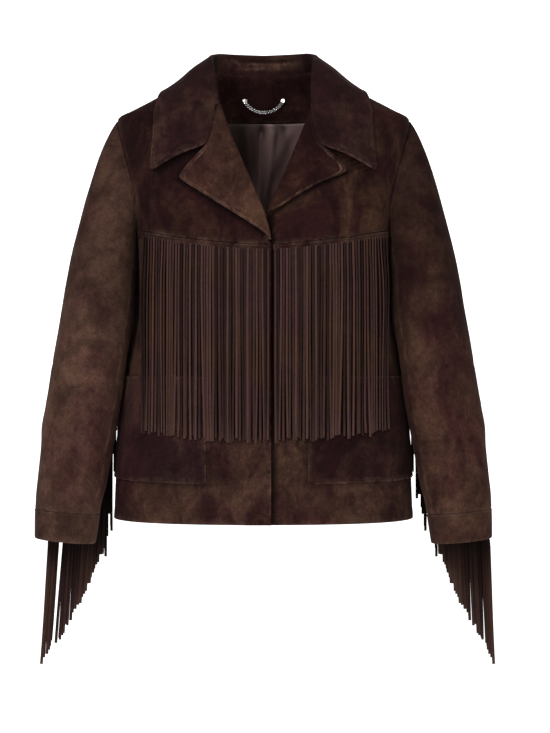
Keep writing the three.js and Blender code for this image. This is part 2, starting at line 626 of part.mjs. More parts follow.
const SLEEVE_CUT = 0.2; // degrees that each half stops short of a sleeve seam
const SLEEVE_ROWS = [0, 0.14, 0.34, 0.6, 0.84, 1, 1.6, 2.3, 3, 3.8, 4.6, 5.5, CUFF_ROW];
function sleeve(side, part) {
  const columns = part === 'top' ? 12 : 5;
  const rows = SLEEVE_ROWS.length - 1;
  const face = (out) => (u, v) => {
    const row = SLEEVE_ROWS[Math.round(v * rows)];
    const hind = hindSeamAt(row);
    const angle =
      part === 'top'
        ? lerp(FRONT_SEAM - SLEEVE_CUT, hind - 360 + SLEEVE_CUT, u)
        : lerp(FRONT_SEAM + SLEEVE_CUT, hind - SLEEVE_CUT, u);
    return sleevePoint(side, angle, row, out);
  };
  return wall(columns, rows, face(0), face(-CLOTH));
}

function cuff(side) {
  const face = (out) => (u, v) => sleevePoint(side, 360 * u, lerp(CUFF_ROW + 0.012, CUFF_END, v), out);
  return wall(18, 2, face(0.6), face(-CLOTH), true);
}

// ---------------------------------------------------------------- pockets
function pocket(side) {
  const inner = side < 0 ? POCKET.innerRight : POCKET.innerLeft;
  const lift = SEAM_GAP + 0.7;
  const face = (out) => (u, v) => {
    const z = lerp(POCKET.bottom, POCKET.top, v);
    return torsoPoint(side, lerp(angleAt(inner, z), 90 - 0.6, u), z, out);
  };
  return wall(9, 4, face(lift + POCKET.cloth), face(lift));
}

// ---------------------------------------------------------------- what shows inside the neck
const BEHIND = -CLOTH - 1.2; // outer face of what lies against the inside of the back

function facing() {
  const face = (out) => (u, v) => {
    const spread = 2 * u - 1;
    const z = lerp(FACING.bottom + FACING.rise * spread * spread, NECK_Z - SEAM_GAP, v);
    return torsoPoint(spread < 0 ? -1 : 1, 180 - FACING.reach * Math.abs(spread), z, out);
  };
  return wall(12, 3, face(BEHIND), face(BEHIND - FACING.cloth));
}

// The lining hangs in a box pleat at the centre back and a few soft folds beside it.
const LINING_FOLDS = [
  { middle: -0.42, across: 0.1, along: 1, high: 3.6 },
  { middle: -0.1, across: 0.06, along: 1, high: 4.5 },
  { middle: 0.14, across: 0.07, along: 1, high: 6.3 },
  { middle: 0.5, across: 0.12, along: 1, high: 3.6 },
];
function lining() {
  const face = (out) => (u, v) => {
    const spread = 2 * u - 1;
    const top = FACING.bottom - 2 * SEAM_GAP + FACING.rise * (spread * LINING.reach / FACING.reach) ** 2;
    const fold = LINING_FOLDS.reduce((sum, f) => sum + foldHeight(f, spread - f.middle, 0), 0);
    const inward = fold * (1 - smooth(v, 0.55, 1));
    const angle = 180 - LINING.reach * Math.abs(spread);
    return torsoPoint(spread < 0 ? -1 : 1, angle, lerp(LINING.bottom, top, v), out - inward);
  };
  return wall(18, 4, face(BEHIND), face(BEHIND - LINING.cloth));
}

const RIVET_BED = BEHIND - FACING.cloth - SEAM_GAP; // just off the facing's face
function rivetPlace(side, out = RIVET_BED) {
  return torsoPoint(side, 180 - 0.97 * angleAt(CHAIN.halfSpan, CHAIN.z), CHAIN.z, out);
}

function rivet() {
  const r = CHAIN.rivet;
  const profile = [[0, 0], [r, 0], [r, 0.7], [0.8 * r, 1.5], [0.4 * r, 1.9], [0, 2]];
  return new THREE.LatheGeometry(profile.map(([x, y]) => new THREE.Vector2(x, y)), 12);
}

function chain() {
  const [from, to] = [rivetPlace(-1), rivetPlace(1)];
  const standoff = -2.4;
  const points = [];
  for (let i = 0; i <= 12; i++) {
    const t = i / 12;
    const point = from.clone().lerp(to, t);
    point.z -= 4.4 + CHAIN.sag * 4 * t * (1 - t) - 1.2 * Math.abs(2 * t - 1);
    point.y += standoff - 1.6 * Math.sin(Math.PI * t);
    points.push(point);
  }
  const ring = new THREE.Shape().absarc(0, 0, CHAIN.width / 2, 0, 2 * Math.PI);
  return new THREE.ExtrudeGeometry(ring, {
    steps: 14,
    curveSegments: 6,
    bevelEnabled: false,
    extrudePath: new THREE.CatmullRomCurve3(points),
  });
}

// ---------------------------------------------------------------- fringe
// A repeatable number from 0 to 1 for each whole number, to vary the thongs.
const vary = (n) => {
  const wave = Math.sin(n * 12.9898 + 4.1414) * 43758.5453;
  return wave - Math.floor(wave);
};

function frontFringe(side) {
  const { pitch, width, cloth, strip } = FRONT_FRINGE;
  const { outer, innerRight, innerLeft } = FRONT_FRINGE_ENDS;
  const inner = side < 0 ? innerRight : innerLeft;
  const count = Math.floor((outer - inner) / pitch);
  const place = (x, z, out) => {
    const angle = angleAt(x, z);
    return torsoPoint(side, angle, z, out + overlapLift(side, angle, z));
  };
  const bottom = (x) => yokeSeamAt(x) - SEAM_GAP - strip;
  const stripPoint = (u, v, face) => {
    const x = lerp(inner - 1, outer + 1, u);
    return place(x, bottom(x) + (strip - 0.5) * v, 0.9 + cloth * face);
  };
  const share = (x) => (x - inner + 1) / (outer - inner + 2);
  const thongs = Array.from({ length: count }, (_, i) => {
    const x = inner + (i + 0.5) * ((outer - inner) / count);
    const end = FRONT_FRINGE.end + 11 * (x / outer) ** 2 - 5 * vary(i);
    const sway = (vary(i + 60) - 0.5) * 1.4;
    const steps = [
      { z: lerp(bottom(x), end, 0.42), x: x + 0.4 * sway, out: 2.6 + 0.9 * (i % 2) },
      { z: end, x: x + sway, out: 4.4 + 0.9 * (i % 2) },
    ].map((step) => {
      const middle = place(step.x, step.z, step.out);
      const across = place(step.x + 1, step.z, step.out).sub(middle).normalize();
      return { middle, across, out: place(step.x, step.z, step.out + 1).sub(middle).normalize() };
    });
    return { from: share(x - width / 2), to: share(x + width / 2), steps };
  });
  return comb(thongs, stripPoint, width, cloth);
}

// How a thong of the sleeve goes down from the seam: aside is off the strip's lower edge, lane how far it
// has moved to its own lane, out how far it stands off the sleeve.
const SLEEVE_THONG = [
  { down: 6, aside: 1.3, lane: 0, out: 3 },
  { down: 16, aside: 1.2, lane: 1, out: 5.6 },
];
// Rows of the hind seam whose points lie evenly spread across the sleeve.
function evenRows(first, last, count) {
  const across = (row) => sleevePoint(1, hindSeamAt(row), row).x;
  return Array.from({ length: count }, (_, i) => {
    const x = lerp(across(first), across(last), (i + 0.5) / count);
    let [low, high] = [first, last];
    for (let k = 0; k < 30; k++) {
      const middle = (low + high) / 2;
      if (across(middle) < x) low = middle;
      else high = middle;
    }
    return low;
  });
}

function sleeveFringe(side) {
  const { upper, lower, width, cloth, strip, length } = SLEEVE_FRINGE;
  const { from, turn, to } = SLEEVE_SEAM;
  const onCuff = (row) => 0.7 * smooth(row, CUFF_ROW - 0.12, CUFF_ROW - 0.06);
  const rowAt = (u) => lerp(from, to, u);
  const stripPoint = (u, v, face) => {
    const row = rowAt(u);
    const wide = THREE.MathUtils.radToDeg(strip / armDepth(ARM_TOP - Math.max(row - CAP, 0) / ROWS_PER_MM));
    return sleevePoint(side, hindSeamAt(row) + (v - 0.5) * wide, row, 0.8 + onCuff(row) + cloth * face);
  };
  const share = (row) => (row - from) / (to - from);
  const rows = [
    ...Array.from({ length: upper }, (_, i) => lerp(from + 0.06, turn, (i + 0.5) / upper)),
    ...evenRows(turn, to - 0.05, lower),
  ];
  const thongs = rows.map((row, i) => {
    const half = (0.575 * width * ROWS_PER_MM * (row < CAP ? 0.6 : 1)) / (to - from);
    const u = share(row);
    const root = stripPoint(u, 0, 0.5);
    const aside = root.clone().sub(stripPoint(u, 1, 0.5)).setZ(0).normalize();
    const out = vector(aside.y * side, -aside.x * side, 0);
    if (out.y < 0) out.negate();
    const steep = i < upper;
    const lane = steep ? -(((upper - 1 - i) * 2) % LANES.count) * LANES.pitch : 0;
    const lift = steep ? 0 : -2;
    const down = length * (0.97 + 0.06 * vary(i));
    const end = { down, aside: 1.4, lane: 1, out: 5.6 + 0.05 * (down - 16) };
    const steps = [...SLEEVE_THONG, end].map((step) => ({
      middle: root
        .clone()
        .add(vector(0, 0, -step.down))
        .addScaledVector(aside, step.aside + lane * step.lane)
        .addScaledVector(out, step.out + lift * step.lane),
      across: aside.clone().negate(),
      out,
    }));
    return { from: u - half, to: u + half, steps };
  });
  return comb(thongs, stripPoint, width, cloth);
}

// ---------------------------------------------------------------- materials and assembly
const suede = new THREE.MeshStandardMaterial({ color: 0x35261f, roughness: 0.95, metalness: 0 });
const suedeDark = new THREE.MeshStandardMaterial({ color: 0x2b1c1c, roughness: 0.95, metalness: 0 });
const thongSuede = new THREE.MeshStandardMaterial({ color: 0x33241f, roughness: 0.95, metalness: 0 });
const satin = new THREE.MeshStandardMaterial({ color: 0x4a3f3d, roughness: 0.45, metalness: 0 });
const steel = new THREE.MeshStandardMaterial({ color: 0xc9c9cc, roughness: 0.25, metalness: 1 });

const jacket = new THREE.Group();
jacket.name = 'jacket';
function add(name, geometry, material) {
  const mesh = new THREE.Mesh(geometry, material);
  mesh.name = name;
  jacket.add(mesh);
  return mesh;
}

add('back', back(), suede);
add('collar', collar(), suedeDark);
add('neck_facing', facing(), suedeDark);
add('back_lining', lining(), satin);
add('hanger_chain', chain(), steel);
for (const [name, side] of [['right', -1], ['left', 1]]) {
  add('front_' + name, front(side), suede);
  add('yoke_' + name, yoke(side), suedeDark);
  add('lapel_' + name, lapel(side), suede);
  add('pocket_' + name, pocket(side), suedeDark);
  add('front_fringe_' + name, frontFringe(side), thongSuede);
  add('sleeve_top_' + name, sleeve(side, 'top'), suede);
  add('sleeve_under_' + name, sleeve(side, 'under'), suede);
  add('cuff_' + name, cuff(side), suede);
  add('sleeve_fringe_' + name, sleeveFringe(side), thongSuede);
  const stud = add('rivet_' + name, rivet(), steel);
  stud.position.copy(rivetPlace(side));
  const inward = rivetPlace(side, RIVET_BED - 1).sub(stud.position);
  stud.quaternion.setFromUnitVectors(vector(0, 1, 0), inward.normalize());
}

export default jacket;
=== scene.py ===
"""Dresses the packed jacket: suede panels with rolled seams, stitching, fringe, lining and hanger chain."""

import math

import bpy
import numpy as np
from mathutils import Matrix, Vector


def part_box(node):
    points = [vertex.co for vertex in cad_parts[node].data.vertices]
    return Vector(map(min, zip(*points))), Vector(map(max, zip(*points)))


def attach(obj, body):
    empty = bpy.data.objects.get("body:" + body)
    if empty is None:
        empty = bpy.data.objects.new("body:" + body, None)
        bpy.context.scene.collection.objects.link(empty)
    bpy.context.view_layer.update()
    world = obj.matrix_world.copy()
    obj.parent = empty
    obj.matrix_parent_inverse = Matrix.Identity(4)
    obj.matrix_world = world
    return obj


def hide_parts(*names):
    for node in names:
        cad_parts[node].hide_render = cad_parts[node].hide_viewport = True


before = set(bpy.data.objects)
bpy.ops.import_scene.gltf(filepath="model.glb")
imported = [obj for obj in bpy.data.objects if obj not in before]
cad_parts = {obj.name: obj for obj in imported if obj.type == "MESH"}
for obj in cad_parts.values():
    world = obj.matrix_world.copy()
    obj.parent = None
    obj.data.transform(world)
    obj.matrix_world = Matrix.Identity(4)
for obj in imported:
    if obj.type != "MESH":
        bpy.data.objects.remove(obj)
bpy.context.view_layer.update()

bl_info = {
    "name": "Fringed suede jacket",
    "version": (1, 0, 0),
    "blender": (4, 5, 0),
    "location": "View3D > Sidebar > Jacket",
    "description": "Builds a fringed suede jacket, panel by panel, around its construction model",
    "category": "Object",
}

MM = 0.001
SIDES = (("right", -1), ("left", 1))


# ---------------------------------------------------------------- the pattern's own sizes, in millimetres
def table(names, *rows):
    """Columns of numbers by name."""
    return dict(zip(names.split(), np.array(rows, float).T))


CLOTH = 2.0
SEAM_GAP = 0.3
HEM_Z = -624.5
HEM_DROP = 1.5
NECK_Z = -1.5
SHOULDER_Z = -70.0
ARMPIT_Z = -236.0
SQUARENESS = 2.4
FRONT_EDGE = 11.0
OVERLAP_LIFT = 4.0
YOKE_END_Z = -228.0
YOKE_END_ROUND = 151.6
YOKE_COLUMNS = 9
SIDE_COLUMNS = 2
BACK_TURN = (5 / 7, 116.0)
ROLL_SKEW = 4.0
FOLD = 4.0
POCKET_TOP, POCKET_BOTTOM = -428.0, -567.0
POCKET_INNER = {-1: 75.5, 1: 60.0}
POCKET_SLOPE = 5.0
POCKET_CLOTH = 1.7
LAPEL_CLOTH = 1.8
COLLAR_CLOTH = 2.4
CUFF_CLOTH, FACING_CLOTH, LINING_CLOTH = 2.6, 1.4, 1.2
CHEST_STRIP_CLOTH, ARM_STRIP_CLOTH = 1.3, 1.2
COLLAR_LIFT = 4.8
FOLD_RADIUS = 4.2
FALL_CROWN = 4.0
ARMHOLE_WIDTH = 47.0
ARMHOLE_SKEW = 26.6
CAP_INSET = 1.8
CAP_HUB = 40.0
EDGE_THINNING = 0.36
POCKET_OFF, POCKET_SIDE_IN, POCKET_CORNER = 2.7, 0.8, 0.03
FRONT_SEAM = 150.0
CUFF_ROW, CUFF_END = 6.35, 7.0
FACING_BOTTOM, FACING_RISE, FACING_REACH = -62.0, 12.0, 68.0
LINING_BOTTOM, LINING_REACH = -240.0, 48.0
CHAIN_SAG = 15.5
LINK_TURN = (90, 58, 12)
LINK_PITCH = 0.73
RIVET_RADIUS = 3.6
RIVET_LEAN = (0.22, 0.12)
# Beside a row of stitches: the channel, the cloth puffed up next to it, and the puckers along it.
CHANNEL_DEPTH, CHANNEL_WIDTH = 0.42, 1.5
PUFF_HEIGHT = 0.28
PUCKER_HEIGHT, PUCKER_REACH = 0.10, 5.0
WEAR_REACH = 2.6
RUB_OFFSET, RUB_WIDTH = 1.3, 1.2
# The tape inside an armhole: its thickness, and where its edges lie off the seam and the cap.
TAPE_CLOTH = 0.7
TAPE_BODY_OUT, TAPE_BODY_IN = 6.0, 3.4
TAPE_SEAM_INSET, TAPE_SEAM_IN = 1.5, 3.0
TAPE_CAP_ROW, TAPE_CAP_IN = 0.16, 3.2

TORSO = table(
    "z side front back",
    (-640, 209.5, 120, 112), (-572, 206, 119, 111), (-531, 203.5, 118, 109), (-461, 195, 116.5, 105),
    (-391, 185.5, 116, 101), (-321, 176, 117.5, 102), (-280, 173.6, 119, 105), (-236, 175.5, 119, 108),
    (-200, 181, 116.5, 109), (-165, 187.5, 111.5, 108), (-130, 194.5, 104, 103), (-100, 200, 95.5, 96),
    (-78, 203.8, 87.5, 90), (-70, 203, 84, 87), (-60, 185.4, 80, 83), (-40, 147.6, 71, 75),
    (-20, 109.8, 60, 67), (0, 72, 48, 58),
)
YOKE_SEAM = table("x z", (-20, -252), (0, -252), (100, -243), (150, -233), (173, YOKE_END_Z))
UPPER_ROWS = [-222, -206, -181, -152, -127, -106, -90, -79, -73, -70.4, -56, -38, -18, NECK_Z]
YOKE_ROWS = [YOKE_END_Z, *UPPER_ROWS]
BACK_ROWS = [HEM_Z, -560, -490, -420, -350, -290, -250, ARMPIT_Z, YOKE_END_Z, *UPPER_ROWS]
ROLL_LINE = table(
    "z x",
    (-262, -11), (-247, -11), (-213, 0), (-187, 11), (-145, 29), (-95, 49), (-59, 61), (-38, 66),
    (-18, 69), (-6, 71), (0, 72),
)
LAPEL_EDGE = table(
    "row x z roll rise",
    (0, -9, -243, -246, 18), (1, 2, -234, -238, 18), (2, 22, -221, -226, 18), (3, 48, -204, -210, 19),
    (4, 76, -186, -192, 17), (5, 103, -168.5, -174, 11.5), (6, 113, -161, -158, 9),
    (7, 106, -149.5, -142, 7), (8, 88, -130, -124, 4.5), (9, 74, -115, -104, 1.5),
    (10, 67.6, -86, -81, 0.5), (11, 63.2, -57, -54, 0),
)
LAPEL_FIRST_ROW = {-1: 0.0, 1: 2.0}
LAPEL_SECTION = table(
    "column away share lift",
    (0, 1.4, 0, -1.6), (1, 0, 0, 1), (2, 1.4, 0, 4), (3, 3, 0.08, 5.4), (4, 2, 0.35, 5.4),
    (5, 1, 0.7, 4.8), (6, 0, 1, 3.8),
)
COLLAR = table(
    "station neck_z fold_x fold_y fold_z edge_x edge_y edge_z",
    (0, NECK_Z, 0, 60, 32, 0, 85, -48), (1, NECK_Z, 32, 56, 32.5, 47, 82, -47),
    (2, NECK_Z, 56, 40, 31, 92, 70, -44), (3, NECK_Z, 66.5, 19, 26, 123, 42, -38),
    (4, NECK_Z, 70, -4, 20.5, 136.5, 2, -33), (5, -7, 70, -27, 13, 141, -34, -46),
    (6, -18, 67, -48, 0, 146, -64, -78), (7, -36, 64, -66, -20, 150, -80, -114),
    (8, -55, 59.5, -80, -46, 149, -86, -145),
)
LAST_STATION = 8
COLLAR_END = table(
    "row x z lift",
    (0, 62.8, -60, -1.8), (1, 61.4, -60.5, 0.6), (2, 62.4, -61, 3.4), (3, 63.8, -62, 5.2),
    (4, 64.4, -73, 5.8), (5, 74.5, -114, 6.6), (6, 112, -131, 8.2), (7, 153, -152, 7.6),
)
ARM = table(
    "z x y width depth",
    (-280, 222.8, -14, 46.5, 64), (-321, 226.3, -24, 49.4, 63), (-391, 236.6, -32, 50.4, 60),
    (-461, 246.8, -36, 50.5, 57), (-531, 257.4, -38, 49, 53), (-572, 263.4, -38, 47.4, 51),
    (-600, 268.3, -38, 45.3, 49), (-654, 273, -38, 41, 47),
)
ARM_TOP, ARM_END = -280.0, -654.0
ROWS_PER_MM = (CUFF_END - 1) / (ARM_TOP - ARM_END)
ARM_TILT = (0.1, -0.03)
SLEEVE_ROWS = [0, 0.14, 0.34, 0.6, 0.84, 1, 1.6, 2.3, 3, 3.8, 4.6, 5.5, CUFF_ROW]
HIND_SEAM = table(
    "row angle",
    (0, 255), (1, 255), (2, 251), (2.8, 246), (3.6, 244), (4.8, 257), (5.6, 276), (6.4, 308), (7, 336),
)
# Soft folds: middle (an angle, and a height or row), reach along and across, height and slant.
BODY_FOLDS = (
    (66, -310, 65, 8, 2.5, 0.10), (76, -330, 75, 7, -3, 0.08), (128, -300, 70, 10, 3.5, -0.12),
    (142, -360, 90, 11, -3, -0.08), (160, -470, 110, 12, 4, -0.03), (118, -500, 100, 11, 4, 0.03),
    (50, -560, 60, 9, 2, 0.02),
)
BODY_CREASES = (
    (58, -150, 26, 2.2, -1.3, 0.16), (63, -168, 30, 2.0, 1.1, 0.14), (52, -120, 22, 2.4, -0.9, 0.10),
    (110, -180, 40, 3.2, -1.6, -0.12), (118, -150, 34, 3.0, 1.4, -0.10), (30, -590, 26, 3.5, 1.0, 0.05),
    (64, -600, 24, 3.0, -1.2, 0.04), (176, -230, 60, 3.4, -1.2, 0.02), (150, -250, 45, 4.0, -1.8, -0.05),
    (134, -560, 48, 5.0, -2.2, 0.02), (92, -262, 20, 7, 3.6, 0), (95, -300, 42, 6, 4.6, 0),
    (95, -372, 42, 6, 4.4, 0), (95, -468, 50, 6, 4.8, 0),
)
SLEEVE_FOLDS = (
    (195, 1.5, 30, 0.20, -2.5, 0.004), (200, 2.2, 30, 0.22, 2, 0.004), (110, 3.3, 42, 0.22, -2.5, -0.003),
    (120, 3.9, 45, 0.24, 2.5, -0.003), (20, 4.6, 50, 0.3, 2, 0.003),
)
SLEEVE_CREASES = (
    (150, 2.7, 26, 0.06, -1.3, 0.006), (142, 2.95, 22, 0.05, 1.0, 0.005), (160, 3.35, 30, 0.06, -1.2, -0.004),
    (95, 5.0, 34, 0.05, -0.7, -0.002), (60, 5.12, 26, 0.04, -0.6, 0.002), (215, 3.0, 24, 0.07, -1.6, 0.006),
    (228, 3.5, 26, 0.07, 1.4, 0.004), (20, 3.2, 26, 0.05, -0.8, 0.003), (340, 4.1, 28, 0.06, 0.9, -0.003),
)
# Folds of the lining: middle at its top, slant, reach across and height.
LINING_FOLDS = (
    (-0.42, 0.0, 0.10, 4.6), (-0.14, -0.06, 0.045, 5.5), (0.09, 0.12, 0.032, 7.0), (0.235, 0.43, 0.055, 6.0),
    (-0.02, 0.05, 0.03, -3.5), (0.5, 0.1, 0.12, 4.6),
)
# Painted shade in the hollows of the lining: middle, reach and depth.
LINING_HOLLOWS = (
    ((-0.02, 0.97), (0.045, 0.09), 0.9), ((0.165, 0.99), (0.022, 0.08), 0.9),
    ((-0.24, 0.6), (0.13, 0.6), 0.85),
)
# How far each row of stitches runs from its edge.
STITCHED = {
    "hem": 14.0, "yoke_joint": 6.0, "front_edge": 7.5, "yoke": 3.0, "armhole": 5.0, "lapel": 5.5,
    "collar": 6.0, "pocket": 4.5, "pocket_top": 7.0, "sleeve": 4.5, "cuff": 3.5, "facing": 2.5, "strip": 2.2,
}
# Painted shade of what lies under another piece: spans and lines across the front, depths from 0 to 1, and
# widths.
OVERLAP_SHADE = (13.5, 18.5)
FRINGE_SHADE = 0.72
EDGE_SHADE, EDGE_SHADE_WIDTH = 0.9, 4.2
POCKET_SHADE, POCKET_SHADE_WIDTH = 0.62, 2.6
COLLAR_SHADOW = ((73, -115), (86, -123), (112, -135), (142, -151))
# Depth of the painted shade over each upper sleeve.
SLEEVE_SHADE = {-1: 0.30, 1: 0.50}
THONG_SHADE = 0.85


# ---------------------------------------------------------------- settings a user would change
class JacketSizes(bpy.types.PropertyGroup):
    """Sizes of the sewing and of the fringe"""

    stitch_pitch: bpy.props.FloatProperty(
        name="Stitch pitch", description="From one stitch to the next", default=0.0034, unit="LENGTH")
    stitch_length: bpy.props.FloatProperty(
        name="Stitch length", description="Length of the thread that shows", default=0.0025, unit="LENGTH")
    thread_radius: bpy.props.FloatProperty(
        name="Thread radius", description="Half the thickness of the thread", default=0.00036, unit="LENGTH")
    thong_width: bpy.props.FloatProperty(
        name="Thong width", description="Width of one thong of the fringe", default=0.0031, unit="LENGTH")
    thong_cloth: bpy.props.FloatProperty(
        name="Thong thickness", description="Thickness of one thong", default=0.0012, unit="LENGTH")
    link_length: bpy.props.FloatProperty(
        name="Link length", description="Outer length of a chain link", default=0.0052, unit="LENGTH")
    link_width: bpy.props.FloatProperty(
        name="Link width", description="Outer width of a chain link", default=0.0032, unit="LENGTH")
    link_wire: bpy.props.FloatProperty(
        name="Link wire", description="Thickness of a link's wire", default=0.00095, unit="LENGTH")


def colour(name, description, default):
    """A colour setting."""
    return bpy.props.FloatVectorProperty(
        name=name, description=description, default=default, subtype="COLOR", size=3, min=0, max=1)


class JacketColours(bpy.types.PropertyGroup):
    """Colours of the finishes, as linear values"""

    nap_dark: colour("Nap, dark", "Suede brushed against the light", (0.0135, 0.0043, 0.0046))
    nap_light: colour("Nap, light", "Suede brushed towards the light", (0.0370, 0.0185, 0.0115))
    # Also the colour of the painted highlights on the collar's creases.
    worn: colour("Worn edge", "Rubbed edges and seams", (0.080, 0.045, 0.033))
    thong: colour("Fringe", "Cut thongs", (0.0300, 0.0160, 0.0140))
    satin: colour("Lining", "Lining satin", (0.100, 0.065, 0.061))
    thread: colour("Thread", "Sewing thread", (0.021, 0.011, 0.010))
    steel: colour("Chain", "Hanger chain and rivets", (0.93, 0.92, 0.92))


def sizes():
    return bpy.context.scene.jacket_sizes


def colours():
    return bpy.context.scene.jacket_colours


# ---------------------------------------------------------------- small maths
def smooth(at, low, high):
    t = np.clip((np.asarray(at, float) - low) / (high - low), 0, 1)
    return t * t * (3 - 2 * t)


def lerp(a, b, t):
    return a + (b - a) * t


def unit(vectors):
    return vectors / np.maximum(np.linalg.norm(vectors, axis=-1, keepdims=True), 1e-9)


def curve(columns, key, column):
    """A smooth curve without overshoot through one column, read at values of its key."""
    order = np.argsort(columns[key])
    keys, values = columns[key][order], columns[column][order]
    steps = np.diff(values) / np.diff(keys)
    slopes = np.concatenate([steps[:1], np.zeros(len(steps) - 1), steps[-1:]])
    for i in range(1, len(steps)):
        before, after = steps[i - 1], steps[i]
        slopes[i] = 0 if before * after <= 0 else 2 * before * after / (before + after)

    def at(x):
        x = np.asarray(x, float)
        i = np.clip(np.searchsorted(keys, x, side="right") - 1, 0, len(keys) - 2)
        span = keys[i + 1] - keys[i]
        t = np.clip((x - keys[i]) / span, 0, 1)
        a, b, da, db = values[i], values[i + 1], slopes[i] * span, slopes[i + 1] * span
        return a + t * da + t**2 * (3 * (b - a) - 2 * da - db) + t**3 * (2 * (a - b) + da + db)

    return at


def polyline(columns, key, column, soften=0.0):
    """The same, straight between the rows; soften rounds its corners over that much of the key."""

    def at(x):
        x = np.asarray(x, float)
        offsets = np.linspace(-1, 1, 9) * soften
        weights = np.exp(-2 * np.linspace(-1, 1, 9) ** 2)
        first, last = columns[key][0], columns[key][-1]
        room = np.clip(np.minimum(x - first, last - x) / max(soften, 1e-9), 0, 1)
        near = zip(weights, offsets)
        total = sum(w * np.interp(x + o * room, columns[key], columns[column]) for w, o in near)
        return total / weights.sum()

    return at


def noise(index, seed=0):
    """A repeatable number from 0 to 1 for each whole number."""
    wave = np.sin(np.asarray(index, float) * 12.9898 + seed * 7.233 + 4.1414) * 43758.5453
    return wave - np.floor(wave)


# ---------------------------------------------------------------- the torso's surface
side_at, front_at, back_at = (curve(TORSO, "z", column) for column in ("side", "front", "back"))
yoke_seam_at = curve(YOKE_SEAM, "x", "z")
middle_roll_at = curve(ROLL_LINE, "z", "x")


def fold_sum(folds, angle, along, turn=None):
    """Height of all folds of a table at a place."""
    total = 0.0
    for middle, centre, reach, across, high, slant in folds:
        rise = along - centre
        if turn is None:
            beside = angle - middle - slant * rise
            total = total + high * np.exp(-((beside / across) ** 2) - (rise / reach) ** 2)
        else:
            round_it = (angle - middle + 540) % 360 - 180
            beside = rise - slant * round_it
            total = total + high * np.exp(-((beside / across) ** 2) - (round_it / reach) ** 2)
    return total


def skew_at(z):
    return ROLL_SKEW * smooth(z, -245, -205) * (1 - 0.8 * smooth(z, -60, -10))


def roll_at(side, z):
    return middle_roll_at(z) + side * skew_at(z)


def neck_edge_at(side, z):
    return roll_at(side, z) + FOLD * smooth(z, -253, -247) * (1 - smooth(z, -58, -30))


def torso(side, angle, z, out=0.0):
    """Points of the torso: angle in degrees from the centre front by the side (90) to the back (180)."""

    def place(degrees, height):
        a = np.radians(degrees)
        sin, cos = np.sin(a), np.cos(a)
        depth = np.where(cos > 0, front_at(height), back_at(height))
        reach = (np.abs(sin) ** SQUARENESS + np.abs(cos) ** SQUARENESS) ** (-1 / SQUARENESS)
        fold = 1 + (fold_sum(BODY_FOLDS, degrees, height) + fold_sum(BODY_CREASES, degrees, height)) / 120
        parts = (side * side_at(height) * sin * reach * fold, -depth * cos * reach * fold, height)
        return np.stack(np.broadcast_arrays(*parts), -1)

    angle, z = np.asarray(angle, float), np.asarray(z, float)
    points = place(angle, z)
    if np.isscalar(out) and out == 0:
        return points
    along = place(angle + 0.05, z) - place(angle - 0.05, z)
    up = place(angle, z + 0.05) - place(angle, z - 0.05)
    way = unit(np.cross(along, up)) * np.broadcast_to(side, points.shape[:-1])[..., None]
    return points + way * np.broadcast_to(out, points.shape[:-1])[..., None]


def angle_at(x, z):
    """Angle at which the torso's front is x from the centre, at a height."""
    share = np.clip(np.abs(x) / side_at(z), 1e-6, 1)
    cot = np.maximum(share**-SQUARENESS - 1, 0) ** (1 / SQUARENESS)
    return np.sign(x) * np.degrees(np.arctan2(1, cot))


def overlap_lift(side, angle, z):
    """How far the right front stands off, to lie on the left one."""
    if side > 0:
        return np.zeros(np.broadcast(angle, z).shape)
    x = np.sign(angle) * torso(1, np.abs(angle), z)[..., 0]
    return OVERLAP_LIFT * (1 - smooth(x, 12, 50))


def clear_of_torso(points, clearance):
    """The points, moved out until they are that far off the torso."""

    def field(p):
        x, y, z = np.moveaxis(p, -1, 0)
        deep = np.abs(y) / np.where(y < 0, front_at(z), back_at(z))
        return ((np.abs(x) / side_at(z)) ** SQUARENESS + deep**SQUARENESS) ** (1 / SQUARENESS) - 1

    steps = 0.5 * np.eye(3)
    for _ in range(4):
        way = np.stack([field(points + step) - field(points - step) for step in steps], -1)
        distance = field(points) / np.maximum(np.linalg.norm(way, axis=-1), 1e-6)
        points = points + unit(way) * np.maximum(clearance - distance, 0)[..., None]
    return points


def armhole(side, angle, inset=0.0):
    """The armhole's ring: degrees from the shoulder tip (0) by the front (90) to the armpit (180)."""
    angle = np.asarray(angle, float)
    middle, half = (SHOULDER_Z + ARMPIT_Z) / 2, (SHOULDER_Z - ARMPIT_Z) / 2
    z = middle + (half - inset) * np.cos(np.radians(angle))
    y = -(ARMHOLE_WIDTH - inset) * np.sin(np.radians(angle - ARMHOLE_SKEW * np.sin(np.radians(angle))))
    depth = np.where(y < 0, front_at(z), back_at(z))
    x = side_at(z) * (1 - (np.abs(y) / depth) ** SQUARENESS) ** (1 / SQUARENESS)
    return np.stack([side * x, y, z], -1)


def armhole_angle(z):
    """Angle on the torso of the armhole's front edge at a height."""
    middle, half = (SHOULDER_Z + ARMPIT_Z) / 2, (SHOULDER_Z - ARMPIT_Z) / 2
    round_it = np.degrees(np.arccos(np.clip((z - middle) / half, -1, 1)))
    angle = angle_at(armhole(1, round_it)[..., 0], z)
    return np.where((z <= ARMPIT_Z) | (z >= SHOULDER_Z), 90.0, angle)


